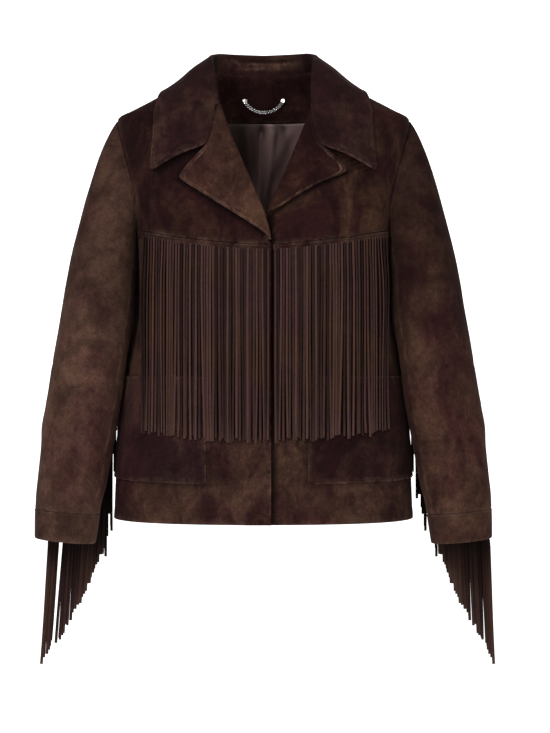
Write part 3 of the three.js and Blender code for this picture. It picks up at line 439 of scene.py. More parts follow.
def front_top(column):
    """Angle and height of a front's top edge: the yoke seam, then the armhole to the side seam."""
    column = np.asarray(column, float)
    first = angle_at(-FRONT_EDGE, YOKE_SEAM["z"][0])
    angle = lerp(first, armhole_angle(YOKE_END_Z) - 0.12, np.minimum(column / YOKE_COLUMNS, 1))
    z = np.full(angle.shape, YOKE_END_Z)
    for _ in range(5):
        z = yoke_seam_at(np.sign(angle) * torso(1, np.abs(angle), z)[..., 0])
    ring = armhole(1, lerp(YOKE_END_ROUND, 180, np.maximum(column - YOKE_COLUMNS, 0) / SIDE_COLUMNS))
    beyond = column > YOKE_COLUMNS
    side_angle = np.minimum(angle_at(ring[..., 0], ring[..., 2]), 90 - 0.12)
    return np.where(beyond, side_angle, angle), np.where(beyond, ring[..., 2] - SEAM_GAP, z)


# ---------------------------------------------------------------- the sleeves' surface
arm_x, arm_y, arm_width, arm_depth = (curve(ARM, "z", column) for column in ("x", "y", "width", "depth"))
hind_seam_at = curve(HIND_SEAM, "row", "angle")


def arm_ring(side, angle, height, out):
    a = np.radians(angle)
    row = 1 + (ARM_TOP - height) * ROWS_PER_MM
    fold = fold_sum(SLEEVE_FOLDS, angle, row, "round") + fold_sum(SLEEVE_CREASES, angle, row, "round")
    x = (arm_width(height) + out + fold) * np.cos(a)
    y = -(arm_depth(height) + out + fold) * np.sin(a)
    z = height + ARM_TILT[0] * x + ARM_TILT[1] * y
    return np.stack([side * (arm_x(height) + x), arm_y(height) + y, z], -1)


def sleeve_surface(side, angle, row, out=0.0):
    """Points of a sleeve: row 0..1 over the cap, 1..7 down to the cuff's end; 0 degrees outside, 90 front."""
    angle, row = np.broadcast_arrays(np.asarray(angle, float), np.asarray(row, float))
    below = arm_ring(side, angle, ARM_TOP - (np.maximum(row, 1) - 1) / ROWS_PER_MM, out)
    a = np.radians(angle)
    level = np.full(a.shape, -0.66)
    leave = unit(np.stack([side * (0.45 + 0.3 * np.cos(a)), -0.5 * np.sin(a), level], -1))
    arrive = unit(np.array([side * 0.19, -0.06, -0.98]))
    start = armhole(side, angle, CAP_INSET) + np.array([side * 0.9, 0, 0])
    end = arm_ring(side, angle, np.full(a.shape, ARM_TOP), 0)
    length = np.linalg.norm(end - start, axis=-1)
    t = np.clip(row, 0, 1)
    s = t * t * (3 - 2 * t)
    cap = lerp(start, end, s[..., None])
    cap = cap + leave * (0.3 * length * t * (1 - t) ** 2)[..., None]
    cap = cap - arrive * (1.3 * length * t * t * (1 - t))[..., None]
    hub = np.stack([side * (np.abs(cap[..., 0]) - CAP_HUB), arm_y(ARM_TOP) + 0 * t, cap[..., 2]], -1)
    cap = cap + unit(cap - hub) * np.broadcast_to(out, t.shape)[..., None]
    return np.where((row >= 1)[..., None], below, cap)


# ---------------------------------------------------------------- grids and walls
def graded(length, fine=1.9, band=13.0, coarse=4.6):
    """Shares along a panel of that length, close together near both its ends."""
    edge = np.concatenate([[0, 0.4, 1.0], np.arange(1.9, band, fine)])
    inner = np.linspace(edge[-1] + fine, length - edge[-1] - fine, max(int((length - 2 * band) / coarse), 2))
    return np.concatenate([edge, inner, (length - edge)[::-1]]) / length


def reaches(points):
    """Distance of each point of a grid from its left, right, low and high edges, along the cloth."""
    across = np.linalg.norm(np.diff(points, axis=1), axis=-1)
    up = np.linalg.norm(np.diff(points, axis=0), axis=-1)
    left = np.concatenate([np.zeros((len(points), 1)), np.cumsum(across, 1)], 1)
    low = np.concatenate([np.zeros((1, points.shape[1])), np.cumsum(up, 0)], 0)
    return {"left": left, "right": left[:, -1:] - left, "low": low, "high": low[-1:] - low}


def grid_normals(points, sign, around=False):
    """Normals of a grid, pointing out."""
    if around:
        wide = np.concatenate([points[:, -2:-1], points, points[:, 1:2]], 1)
        across = np.gradient(wide, axis=1)[:, 1:-1]
    else:
        across = np.gradient(points, axis=1)
    return sign * unit(np.cross(across, np.gradient(points, axis=0)))


STITCH_LINES = []


def stitch_line(points, normals, reach, edge, distance, trim=3.0, lift=0.1):
    """Keeps the path of a row of stitches that runs at a distance from an edge."""
    lines = points + normals * lift
    far = reach[edge]
    if edge in ("low", "high"):
        lines, far = np.swapaxes(lines, 0, 1), far.T
        other = ("left", "right")
        others = [reach[name].T for name in other]
    else:
        others = [reach[name] for name in ("low", "high")]
    path = []
    for line, distances, *ends in zip(lines, far, *others):
        order = np.argsort(distances)
        at = [np.interp(distance, distances[order], line[order, k]) for k in range(3)]
        if all(np.interp(distance, distances[order], end[order]) >= trim for end in ends):
            path.append(at)
    if len(path) > 2:
        STITCH_LINES.append(np.array(path))


def relief(reach, stitched, phase):
    """Puckers and channels beside the stitched edges, in millimetres."""
    total = np.zeros(reach["left"].shape)
    for edge, distance in stitched:
        d = reach[edge]
        along = reach["low" if edge in ("left", "right") else "left"]
        total -= CHANNEL_DEPTH * np.exp(-((d - distance) / CHANNEL_WIDTH) ** 2)
        total += PUFF_HEIGHT * np.exp(-((d - distance / 2) / (0.3 * distance + 0.5)) ** 2)
        ripple = np.sin(along / 1.9 + phase) + 0.7 * np.sin(along / 3.1 + 2 * phase)
        total += PUCKER_HEIGHT * ripple * np.exp(-((d - distance) / PUCKER_REACH) ** 2)
    return total


def undulation(points, high):
    """Slow unevenness of the hide, in millimetres."""
    x, y, z = np.moveaxis(points, -1, 0)
    waves = np.sin(x / 23 + 0.6 * np.sin(z / 41)) + np.sin(z / 31 + y / 19) + np.sin((x + z) / 14 + 1.3) * 0.5
    return high * waves / 2.5


def shell(name, points, sign, cloth, materials, stitched=(), rolled=("left", "right", "low", "high"),
          worn=("left", "right", "low", "high"), around=False, wave=0.5, roll=1.9, phase=0.0, lift=0.0,
          bulge=0.0, shade=None, unworn=0.0, painted_highlights=0.0, seam_rub=0.3):
    """A closed wall of cloth over a grid of points, with rounded edges, puckered seams, wear and shade."""
    normals = grid_normals(points, sign, around)
    reach = reaches(points)
    edges = [edge for edge in rolled if not (around and edge in ("left", "right"))]
    nearest = np.min([reach[edge] for edge in edges], 0) if edges else np.full(reach["left"].shape, 1e3)
    share = np.clip(nearest / roll, 0, 1)
    round_off = 1 - np.sqrt(1 - (1 - share) ** 2 * 0.999)
    ease = smooth(nearest, 0, 6)
    thinned = EDGE_THINNING * cloth * round_off
    uneven = ease * undulation(points, wave)
    outer = points + normals * (lift - thinned + relief(reach, stitched, phase) + uneven + bulge)[..., None]
    inner = points - normals * (cloth - lift - thinned - uneven)[..., None]
    worn_reach = np.min([reach[edge] for edge in worn], 0) if worn else np.full(nearest.shape, 1e3)
    rows, columns = outer.shape[:2]
    width = columns - 1 if around else columns
    vertices = np.concatenate([outer[:, :width].reshape(-1, 3), inner[:, :width].reshape(-1, 3)])
    index = np.arange(rows * width).reshape(rows, width)
    if around:
        index = np.concatenate([index, index[:, :1]], 1)
    half = rows * width
    a, b, c, d = (part.ravel() for part in (index[:-1, :-1], index[:-1, 1:], index[1:, 1:], index[1:, :-1]))
    front = np.stack([a, b, c, d], 1)
    faces = [front, front[:, ::-1] + half]
    rims = [(index[0, ::-1]), (index[-1])]
    if not around:
        rims += [index[:, 0], index[::-1, -1]]
    for rim in rims:
        faces.append(np.stack([rim[:-1], rim[1:], rim[1:] + half, rim[:-1] + half], 1))
    faces = np.concatenate(faces)
    if sign < 0:
        faces = faces[:, ::-1]
    mesh = bpy.data.meshes.new(name + "_panel")
    mesh.from_pydata((vertices * MM).tolist(), [], faces.tolist())
    for material in materials:
        mesh.materials.append(material)
    lining = np.zeros(len(faces), np.int32)
    if len(materials) > 1:
        lining[len(front):2 * len(front)] = 1
    mesh.polygons.foreach_set("material_index", lining)
    mesh.polygons.foreach_set("use_smooth", np.ones(len(faces), bool))
    # Wear along the edges and beside the stitches, with painted highlights where a piece gives them.
    wear_and_highlight = np.maximum(np.exp(-worn_reach / WEAR_REACH), painted_highlights)
    for edge, distance in stitched:
        beyond = reach[edge] - distance - RUB_OFFSET
        wear_and_highlight = np.maximum(wear_and_highlight, seam_rub * np.exp(-((beyond / RUB_WIDTH) ** 2)))
    wear_and_highlight = (wear_and_highlight * (1 - unworn))[:, :width].ravel()
    # Painted shade, where a piece gives it.
    shadow = np.zeros(wear_and_highlight.shape) if shade is None else shade[:, :width].ravel()
    for attribute, values in (("rubbed_and_highlit", wear_and_highlight), ("shaded", shadow)):
        layer = mesh.attributes.new(attribute, "FLOAT", "POINT")
        layer.data.foreach_set("value", np.concatenate([values, values]).astype(np.float32))
    mesh.update()
    piece = bpy.data.objects.new(name + "_panel", mesh)
    bpy.context.scene.collection.objects.link(piece)
    for edge, distance in stitched:
        stitch_line(outer, normals, reach, edge, distance)
    return piece


def settle(piece, slot, *nodes):
    """Lets a piece ride on the jacket in place of its construction nodes."""
    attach(piece, "root")
    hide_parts(*nodes)
    return piece


# ---------------------------------------------------------------- finishes
class Finish:
    """A procedural material, built node by node."""

    def __init__(self, name, **settings):
        self.material = bpy.data.materials.new(name)
        self.material.use_nodes = True
        self.nodes, self.links = self.material.node_tree.nodes, self.material.node_tree.links
        self.shader = self.nodes["Principled BSDF"]
        for socket, value in settings.items():
            self.shader.inputs[socket.replace("_", " ")].default_value = value
        self.place = self.nodes.new("ShaderNodeTexCoord").outputs["Object"]

    def link(self, output, target):
        self.links.new(output, target)

    def stretched(self, scale):
        """Object coordinates, scaled apart along each axis."""
        node = self.nodes.new("ShaderNodeMapping")
        node.inputs["Scale"].default_value = scale
        self.link(self.place, node.inputs["Vector"])
        return node.outputs["Vector"]

    def noise(self, scale, detail=3.0, roughness=0.55, distortion=0.0, place=None):
        node = self.nodes.new("ShaderNodeTexNoise")
        node.inputs["Scale"].default_value = scale
        node.inputs["Detail"].default_value = detail
        node.inputs["Roughness"].default_value = roughness
        node.inputs["Distortion"].default_value = distortion
        self.link(place or self.place, node.inputs["Vector"])
        return node.outputs["Fac"]

    def span(self, value, low, high, to_low=0.0, to_high=1.0):
        node = self.nodes.new("ShaderNodeMapRange")
        node.interpolation_type = "SMOOTHSTEP"
        for socket, number in zip(("From Min", "From Max", "To Min", "To Max"), (low, high, to_low, to_high)):
            node.inputs[socket].default_value = number
        self.link(value, node.inputs["Value"])
        return node.outputs["Result"]

    def maths(self, operation, a, b):
        node = self.nodes.new("ShaderNodeMath")
        node.operation = operation
        for socket, value in zip(node.inputs, (a, b)):
            if isinstance(value, (int, float)):
                socket.default_value = value
            else:
                self.link(value, socket)
        return node.outputs[0]

    def mix(self, factor, a, b, blend="MIX"):
        node = self.nodes.new("ShaderNodeMix")
        node.data_type = "RGBA"
        node.blend_type = blend
        for socket, value in ((node.inputs[0], factor), (node.inputs[6], a), (node.inputs[7], b)):
            if isinstance(value, (int, float)):
                socket.default_value = value
            elif isinstance(value, (tuple, list)):
                socket.default_value = (*value, 1)
            else:
                self.link(value, socket)
        return node.outputs[2]

    def attribute(self, name):
        node = self.nodes.new("ShaderNodeAttribute")
        node.attribute_name = name
        return node.outputs["Fac"]

    def bump(self, height, strength, distance, normal=None):
        node = self.nodes.new("ShaderNodeBump")
        node.inputs["Strength"].default_value = strength
        node.inputs["Distance"].default_value = distance
        self.link(height, node.inputs["Height"])
        if normal is not None:
            self.link(normal, node.inputs["Normal"])
        return node.outputs["Normal"]


def tint(base, gain):
    return tuple(min(channel * factor, 1) for channel, factor in zip(base, gain))


# Gain that darkens a colour into painted shade.
SHADED = (0.12, 0.12, 0.12)

# Finishes of suede: gains on the nap's colours, balance of dark to light nap, its softness, and wear.
SUEDES = {
    "suede_body": ((0.96, 0.96, 0.98), 0.50, 0.13, 1.0),
    "suede_yoke_right": ((0.62, 0.53, 0.56), 0.57, 0.12, 1.0),
    "suede_yoke_left": ((0.78, 0.74, 0.70), 0.51, 0.12, 1.0),
    "suede_lapel_right": ((1.14, 1.14, 1.08), 0.45, 0.14, 1.9),
    "suede_lapel_left": ((0.64, 0.54, 0.56), 0.55, 0.12, 1.3),
    "suede_collar": ((1.02, 1.04, 1.10), 0.54, 0.13, 1.3),
    "suede_pocket_right": ((0.84, 0.92, 1.02), 0.58, 0.13, 1.0),
    "suede_pocket_left": ((0.60, 0.56, 0.62), 0.57, 0.13, 1.0),
    # The right sleeve is a lighter copy and the left sleeve a darker one: painted light and painted shade
    # across the two sides.
    "suede_sleeve_right": ((1.34, 1.40, 1.50), 0.42, 0.22, 1.0),
    "suede_sleeve_left": ((1.16, 1.14, 1.15), 0.50, 0.18, 1.0),
    "suede_cuff_right": ((0.98, 1.02, 1.08), 0.44, 0.22, 1.0),
    "suede_cuff_left": ((0.98, 0.96, 0.98), 0.48, 0.18, 1.0),
    "suede_facing": ((0.92, 0.90, 0.90), 0.58, 0.13, 1.0),
}


def suede(name):
    """Brushed suede: patches of nap lying either way, fine fibre, and pale rubbed edges."""
    found = bpy.data.materials.get(name)
    if found:
        return found
    gain, balance, softness, wear = SUEDES[name]
    dark, light = (tint(tuple(c), gain) for c in (colours().nap_dark, colours().nap_light))
    finish = Finish(name, Roughness=0.97, Specular_IOR_Level=0.05, Sheen_Weight=0.035, Sheen_Roughness=0.4)
    finish.shader.inputs["Sheen Tint"].default_value = (0.55, 0.36, 0.28, 1)
    patches = finish.noise(1.5, 4.0, 0.6, 1.0, finish.stretched((9.0, 9.0, 5.5)))
    strokes = finish.noise(6.5, 4.0, 0.7, 1.6, finish.stretched((9.0, 9.0, 6.0)))
    parts = (finish.maths("MULTIPLY", patches, 0.72), finish.maths("MULTIPLY", strokes, 0.28))
    blotch = finish.maths("ADD", *parts)
    nap = finish.span(blotch, balance - softness, balance + softness)
    grain = finish.span(finish.noise(620.0, 2.0, 0.7), 0.3, 0.7, 0.74, 1.28)
    fibres = finish.span(finish.noise(130.0, 4.0, 0.75, 0.6), 0.3, 0.7, 0.80, 1.22)
    tone = finish.mix(nap, dark, light)
    red = finish.span(finish.noise(7.0, 2.0, 0.5), 0.50, 0.72, 0.0, 0.45)
    tone = finish.mix(red, tone, tint(dark, (1.5, 1.05, 1.12)))
    # Wear and painted highlights, broken up by noise, in the worn colour.
    rubbed_and_highlit = finish.attribute("rubbed_and_highlit")
    wear_and_highlight = finish.maths("MULTIPLY", rubbed_and_highlit, finish.span(finish.noise(70.0, 4.0, 0.7), 0.38, 0.66))
    tone = finish.mix(finish.maths("MULTIPLY", wear_and_highlight, 0.62 * wear), tone, tuple(colours().worn))
    mottle = finish.span(finish.noise(26.0, 3.0, 0.6, 0.8), 0.34, 0.66, 0.74, 1.24)
    for factor in (grain, fibres, mottle):
        tone = finish.mix(1.0, tone, factor, "MULTIPLY")
    # Painted shade from the piece's shaded attribute.
    tone = finish.mix(finish.attribute("shaded"), tone, tint(dark, SHADED))
    finish.link(tone, finish.shader.inputs["Base Color"])
    soft = finish.bump(finish.noise(240.0, 3.0, 0.6), 0.25, 0.0006)
    fine = finish.bump(finish.noise(1100.0, 2.0, 0.7), 0.35, 0.00025, soft)
    finish.link(fine, finish.shader.inputs["Normal"])
    return finish.material


def satin():
    """Lining satin: a soft gloss with fine threads one way."""
    found = bpy.data.materials.get("woven_satin")
    if found:
        return found
    base = tuple(colours().satin)
    finish = Finish("woven_satin", Roughness=0.42, Specular_IOR_Level=0.13, Sheen_Weight=0.0, Anisotropic=0.6)
    threads = finish.noise(60.0, 2.0, 0.6, 0.0, finish.stretched((40.0, 40.0, 2.0)))
    # Painted sheen: long lighter and darker streaks down the satin.
    painted_sheen = finish.noise(17.0, 2.0, 0.5, 0.8, finish.stretched((1.0, 1.0, 0.22)))
    dull, bright = tint(base, (0.60, 0.57, 0.57)), tint(base, (1.45, 1.42, 1.42))
    tone = finish.mix(finish.span(painted_sheen, 0.36, 0.64), dull, bright)
    # Painted shade from the piece's shaded attribute.
    tone = finish.mix(finish.attribute("shaded"), tone, tint(base, (0.12, 0.10, 0.10)))
    tone = finish.mix(1.0, tone, finish.span(threads, 0.3, 0.7, 0.88, 1.10), "MULTIPLY")
    finish.link(tone, finish.shader.inputs["Base Color"])
    finish.link(finish.bump(threads, 0.12, 0.0002), finish.shader.inputs["Normal"])
    return finish.material


def thong_suede(name, gain):
    """Cut thongs: each one a little lighter or darker, with fibrous cut edges."""
    found = bpy.data.materials.get(name)
    if found:
        return found
    base = tint(tuple(colours().thong), (gain,) * 3)
    finish = Finish(name, Roughness=0.95, Specular_IOR_Level=0.06, Sheen_Weight=0.04, Sheen_Roughness=0.4)
    finish.shader.inputs["Sheen Tint"].default_value = (0.55, 0.38, 0.32, 1)
    shade = finish.attribute("thong_tone")
    drift = finish.noise(14.0, 4.0, 0.65, 1.0)
    mixed = finish.maths("ADD", finish.maths("MULTIPLY", shade, 0.78), finish.maths("MULTIPLY", drift, 0.45))
    dull, bright = tint(base, (0.34, 0.31, 0.37)), tint(base, (1.42, 1.28, 1.28))
    tone = finish.mix(finish.span(mixed, 0.2, 0.95), dull, bright)
    brown = finish.span(finish.noise(11.0, 3.0, 0.6, 0.8), 0.48, 0.60, 0.0, 0.75)
    tone = finish.mix(brown, tone, finish.mix(1.0, tone, (1.06, 1.10, 0.80), "MULTIPLY"))
    tone = finish.mix(finish.maths("MULTIPLY", finish.attribute("rubbed_and_highlit"), 0.22), tone, tuple(colours().worn))
    tone = finish.mix(1.0, tone, finish.span(finish.noise(520.0, 2.0, 0.7), 0.3, 0.7, 0.84, 1.18), "MULTIPLY")
    # Painted shade from the set's shaded attribute.
    tone = finish.mix(finish.attribute("shaded"), tone, tint(base, SHADED))
    finish.link(tone, finish.shader.inputs["Base Color"])
    finish.link(finish.bump(finish.noise(900.0, 2.0, 0.7), 0.3, 0.0002), finish.shader.inputs["Normal"])
    return finish.material


def thread():
    """Waxed sewing thread."""
    finish = Finish("thread", Roughness=0.8, Specular_IOR_Level=0.08)
    twist = finish.span(finish.noise(1800.0, 1.0, 0.5), 0.35, 0.65, 0.7, 1.2)
    tone = finish.mix(1.0, tuple(colours().thread), twist, "MULTIPLY")
    finish.link(tone, finish.shader.inputs["Base Color"])
    return finish.material


def steel():
    """Polished nickel of the chain and rivets."""
    found = bpy.data.materials.get("polished_nickel")
    if found:
        return found
    finish = Finish("polished_nickel", Metallic=1.0, Roughness=0.22)
    wear = finish.span(finish.noise(900.0, 3.0, 0.6), 0.4, 0.7, 0.75, 1.0)
    finish.link(finish.mix(1.0, tuple(colours().steel), wear, "MULTIPLY"), finish.shader.inputs["Base Color"])
    finish.link(finish.span(finish.noise(300.0), 0.3, 0.7, 0.16, 0.32), finish.shader.inputs["Roughness"])
    return finish.material


# ---------------------------------------------------------------- panels of the body
def rows_between(marks, heights):
    """Heights at shares of the way through a list of row heights."""
    return np.interp(np.asarray(marks) * (len(heights) - 1), np.arange(len(heights)), heights)


def back_grid():
    us, vs = graded(470, coarse=5.0), graded(650, coarse=5.0)
    z = rows_between(vs, BACK_ROWS)[:, None]
    edge = 180 - armhole_angle(z) + 0.12
    share = np.abs(2 * us - 1)[None, :]
    turned = np.maximum(share - BACK_TURN[0], 0) / (1 - BACK_TURN[0])
    angle = lerp(lerp(180, BACK_TURN[1], np.minimum(share / BACK_TURN[0], 1)), edge, turned)
    side = np.where(us < 0.5, -1.0, 1.0)[None, :] + 0 * angle
    return torso(side, angle, z + 0 * angle)


def front_grid(side):
    us, vs = graded(230), graded(380)
    column = us * (YOKE_COLUMNS + SIDE_COLUMNS)
    top_angle, top_z = front_top(column)
    hem = HEM_Z - HEM_DROP * np.maximum(np.cos(np.radians(top_angle)), 0)
    z = lerp(hem, top_z - SEAM_GAP / 2, vs[:, None])
    straight = angle_at(-FRONT_EDGE, z) - top_angle[0]
    angle = top_angle + straight * np.maximum(1 - column, 0)
    return torso(side, angle, z, overlap_lift(side, angle, z))


def yoke_grid(side):
    us, vs = graded(190, coarse=4.0), graded(280, coarse=4.0)
    _, seam_z = front_top(us * YOKE_COLUMNS)
    height = rows_between(vs, YOKE_ROWS)[:, None]
    share = (height - YOKE_END_Z) / (NECK_Z - YOKE_END_Z)
    z = lerp(seam_z + SEAM_GAP / 2, NECK_Z, share)
    roll_z = lerp(YOKE_SEAM["z"][0], NECK_Z, share)
    start = angle_at(neck_edge_at(side, roll_z), roll_z)
    angle = lerp(start, armhole_angle(height) - 0.12, us)
    return torso(side, angle, z, overlap_lift(side, angle, z))


def build_back():
    """The back, in one panel."""
    piece = shell("back", back_grid(), -1, CLOTH, [suede("suede_body"), satin()],
                  stitched=[("low", STITCHED["hem"])], worn=("left", "right", "low"), phase=0.4, wave=0.9)
    settle(piece, "suede", "back")


def lapel_shadow(side):
    """The line just below a lapel's lower edge."""
    rise = polyline(LAPEL_EDGE, "row", "rise")(np.arange(7)) if side > 0 else np.zeros(7)
    return [(x, z + up - 2) for x, z, up in zip(LAPEL_EDGE["x"][:7], LAPEL_EDGE["z"][:7], rise)]


def under_overlap(side, points):
    """How deep in the shade of the right front's edge the left side lies."""
    return (1 - smooth(points[..., 0], *OVERLAP_SHADE)) * (0.96 if side > 0 else 0)


def near_lines(points, lines, width):
    """How close the points lie to lines across the front, from 0 to 1."""
    at = np.stack([np.abs(points[..., 0]), points[..., 2]], -1)
    nearest = np.full(at.shape[:-1], 1e3)
    for line in lines:
        for a, b in zip(line[:-1], line[1:]):
            a, along = np.array(a, float), np.subtract(b, a).astype(float)
            t = np.clip((at - a) @ along / (along @ along), 0, 1)
            nearest = np.minimum(nearest, np.linalg.norm(at - a - t[..., None] * along, axis=-1))
    return np.exp(-((nearest / width) ** 2))


def pocket_outline(side):
    """The line just outside a pocket's inner and lower edges."""
    inner, bottom = POCKET_INNER[side] - 1.0, POCKET_BOTTOM - 1.5
    return [(inner, POCKET_TOP), (inner, bottom - POCKET_SLOPE), (TORSO["side"].max(), bottom)]


def build_fronts():
    """The two fronts, right over left."""
    for name, side in SIDES:
        stitched = [("low", STITCHED["hem"]), ("high", STITCHED["yoke_joint"])]
        if side < 0:
            stitched.append(("left", STITCHED["front_edge"]))
        grid = front_grid(side)
        x, z = np.abs(grid[..., 0]), grid[..., 2]
        # Painted shade on the front under the chest fringe, just outside the pocket, and beside the right
        # front's edge.
        behind = FRINGE_SHADE * smooth(z, FRONT_END - 4, FRONT_END + 8)
        covered = behind * (1 - smooth(x, FRONT_OUTER[side] - 4, FRONT_OUTER[side] + 3))
        around_pocket = POCKET_SHADE * near_lines(grid, [pocket_outline(side)], POCKET_SHADE_WIDTH)
        shade = np.maximum(np.maximum(covered, around_pocket), under_overlap(side, grid))
        piece = shell("front_" + name, grid, side, CLOTH, [suede("suede_body"), satin()],
                      stitched=stitched, phase=side, wave=0.8, shade=shade)
        settle(piece, "suede", "front_" + name)


def build_yokes():
    """The front yokes, down to the fringe."""
    for name, side in SIDES:
        grid = yoke_grid(side)
        # Painted shadows under the collar's end and the lapel's lower edge, and beside the right front's
        # edge.
        shade = EDGE_SHADE * near_lines(grid, [COLLAR_SHADOW, lapel_shadow(side)], EDGE_SHADE_WIDTH)
        overlap = under_overlap(side, grid) * (1 - smooth(grid[..., 2], -212, -200))
        piece = shell("yoke_" + name, grid, side, CLOTH, [suede("suede_yoke_" + name), satin()],
                      stitched=[("low", STITCHED["yoke"]), ("right", STITCHED["armhole"])],
                      worn=("left", "right", "low"), phase=2 + side, wave=0.6,
                      shade=np.maximum(shade, overlap))
        settle(piece, "suede", "yoke_" + name)


def lapel_rows(side):
    """Rows of a lapel's grid, from its lower end to its top."""
    return lerp(LAPEL_FIRST_ROW[side], LAPEL_EDGE["row"][-1], graded(250, coarse=3.0, band=9))[:, None]


def lapel_grid(side):
    row = lapel_rows(side)
    column = (graded(110, coarse=3.0, band=9) * LAPEL_SECTION["column"][-1])[None, :]
    edge_x, edge_z = (polyline(LAPEL_EDGE, "row", key, 0.62)(row) for key in ("x", "z"))
    rise = polyline(LAPEL_EDGE, "row", "rise", 0.3)(row) if side > 0 else 0 * row
    roll = polyline(LAPEL_EDGE, "row", "roll", 0.3)(row) + rise
    away, share, lift = (curve(LAPEL_SECTION, "column", key)(column) for key in ("away", "share", "lift"))
    x = lerp(roll_at(side, roll), edge_x, share) + away
    z = lerp(roll, edge_z + rise, share)
    angle = angle_at(x, z)
    lift = lift * (1 - 0.6 * smooth(row, 10.3, 11))
    return torso(side, angle, z, lift + overlap_lift(side, angle, z))


def lapel_gorge(side):
    """Where the lapel's edge is sewn to the collar, as a column over its grid."""
    return smooth(lapel_rows(side), 8.2, 9.0)


def build_lapels():
    """The lapels, rolled back from the front edges."""
    for name, side in SIDES:
        grid = lapel_grid(side)
        # Painted shade over the lapel's top end, under the collar.
        shade = 0.7 * smooth(grid[..., 2], -88, -60)
        piece = shell("lapel_" + name, grid, side, LAPEL_CLOTH, [suede("suede_lapel_" + name)],
                      stitched=[("right", STITCHED["lapel"])], rolled=("right", "low"), worn=("right",),
                      phase=1.5, wave=0.35, roll=1.6, shade=shade, unworn=lapel_gorge(side), seam_rub=1.6)
        settle(piece, "suede", "lapel_" + name)


def neck_seam(side, station):
    z = curve(COLLAR, "station", "neck_z")(station)
    by_station = 180 - 22.5 * station
    by_edge = angle_at(neck_edge_at(side, z), z)
    angle = lerp(by_station, by_edge, smooth(station, 3.4, 4.6))
    front = smooth(station, 4, 6)
    offset = np.stack([-2.2 * front, 0 * front, 2.3 - 0.6 * front], -1)
    return torso(1, angle, z, np.full(z.shape, -1.9)) + offset


def collar_side(side, station, rows):
    """Half the collar, on a grid of stations and rows."""
    at = {key: curve(COLLAR, "station", key)(station) for key in COLLAR}
    fold = np.stack([at["fold_x"], at["fold_y"], at["fold_z"]], -1)
    edge = np.stack([at["edge_x"], at["edge_y"], at["edge_z"]], -1)
    neck = neck_seam(side, station)
    out = unit((edge - fold) * np.array([1, 1, 0]))

    def beside(along, down):
        return fold + out * along * FOLD_RADIUS + np.array([0, 0, -down])

    path = [neck, lerp(neck, beside(-0.1, 5), 0.6), beside(-0.1, 4), beside(0.75, 0), beside(2, 3.6)]
    for share in (0.33, 0.68, 1):
        point = lerp(path[4], edge, share) + np.array([0, 0, FALL_CROWN * math.sin(math.pi * share)])
        path.append(clear_of_torso(point, COLLAR_LIFT + 2 * (1 - share)))
    control = np.stack(path, 0)
    row_table = {"row": np.arange(8.0)}
    ends = smooth(station, 6.3, LAST_STATION)[None, :, None]
    x, z, lift = (curve(COLLAR_END, "row", key)(rows) for key in ("x", "z", "lift"))
    x = x + side * skew_at(z) * (1 - smooth(rows, 2, 3.5))
    end = torso(1, angle_at(x, z), z, lift)[:, None, :]
    grid = np.empty((len(rows), len(station), 3))
    for j in range(len(station)):
        for k in range(3):
            row_table["value"] = control[:, j, k]
            grid[:, j, k] = curve(row_table, "row", "value")(rows)
    grid = lerp(grid, end, ends)
    return grid * np.array([side, 1, 1])


COLLAR_ROWS = 7
COLLAR_TIP = 13.0
# Creases of the stand: station, row, reach along and across, height and slant.
STAND_CREASES = (
    (-0.9, 1.15, 0.8, 0.16, 1.6, 0.10), (0.2, 1.45, 0.9, 0.13, -1.3, -0.05),
    (-1.3, 1.6, 0.5, 0.12, 1.2, 0.12), (0.9, 1.2, 0.6, 0.14, 1.3, -0.12),
    (0.1, 0.75, 1.2, 0.15, 1.0, 0.04), (-0.6, 1.9, 0.7, 0.12, -0.9, 0.06),
)


def collar_grid():
    vs = graded(140, coarse=2.6, band=9)
    rows = np.interp(vs, [0, 0.12, 0.22, 0.42, 1], [0, 2, 3, 4.5, COLLAR_ROWS])
    us = graded(640, coarse=4.2, band=9)
    station = np.abs(2 * us - 1) * LAST_STATION
    middle = len(station) // 2
    right = collar_side(-1, station[:middle], rows)
    left = collar_side(1, station[middle:], rows)
    grid = np.concatenate([right, left], 1)
    around = ((2 * us - 1) * LAST_STATION)[None, :]
    row = rows[:, None]
    creases = sum(high * np.exp(-(((row - middle - slant * (around - centre)) / across) ** 2)
                                - ((around - centre) / reach) ** 2)
                  for centre, middle, reach, across, high, slant in STAND_CREASES)
    sewn = (1 - smooth(row, 4.9, 5.3)) * smooth(np.abs(around), 5.5, 6.5)
    # Painted shade: deep at the stand's two ends and in the hollows between its creases, and slight over the
    # fall.
    shade = 0.8 * smooth(np.abs(around + 0.25), 1.7, 3.0) * (1 - smooth(row, 2.2, 2.9))
    shade = np.maximum(shade, 0.30 * smooth(row, 2.2, 3.0))
    shade = np.maximum(shade, 0.75 * smooth(-creases, -0.45, 0.6) * (1 - smooth(row, 2.2, 2.6)))
    return resampled(grid, us, vs, *rounded_tips(grid, us, vs, COLLAR_TIP)), creases, sewn, shade


def build_collar():
    """The collar: stand, fold and fall."""
    grid, creases, sewn, shade = collar_grid()
    # The ridges of the stand's creases get painted highlights in the worn colour.
    piece = shell("collar", grid, 1, COLLAR_CLOTH, [suede("suede_collar")],
                  stitched=[(edge, STITCHED["collar"]) for edge in ("high", "left", "right")],
                  worn=("left", "right", "high"),
                  wave=0.5, phase=0.7, bulge=creases, unworn=sewn, painted_highlights=np.clip(creases, 0, 1),
                  shade=shade, seam_rub=0.45)
    settle(piece, "suede", "collar")


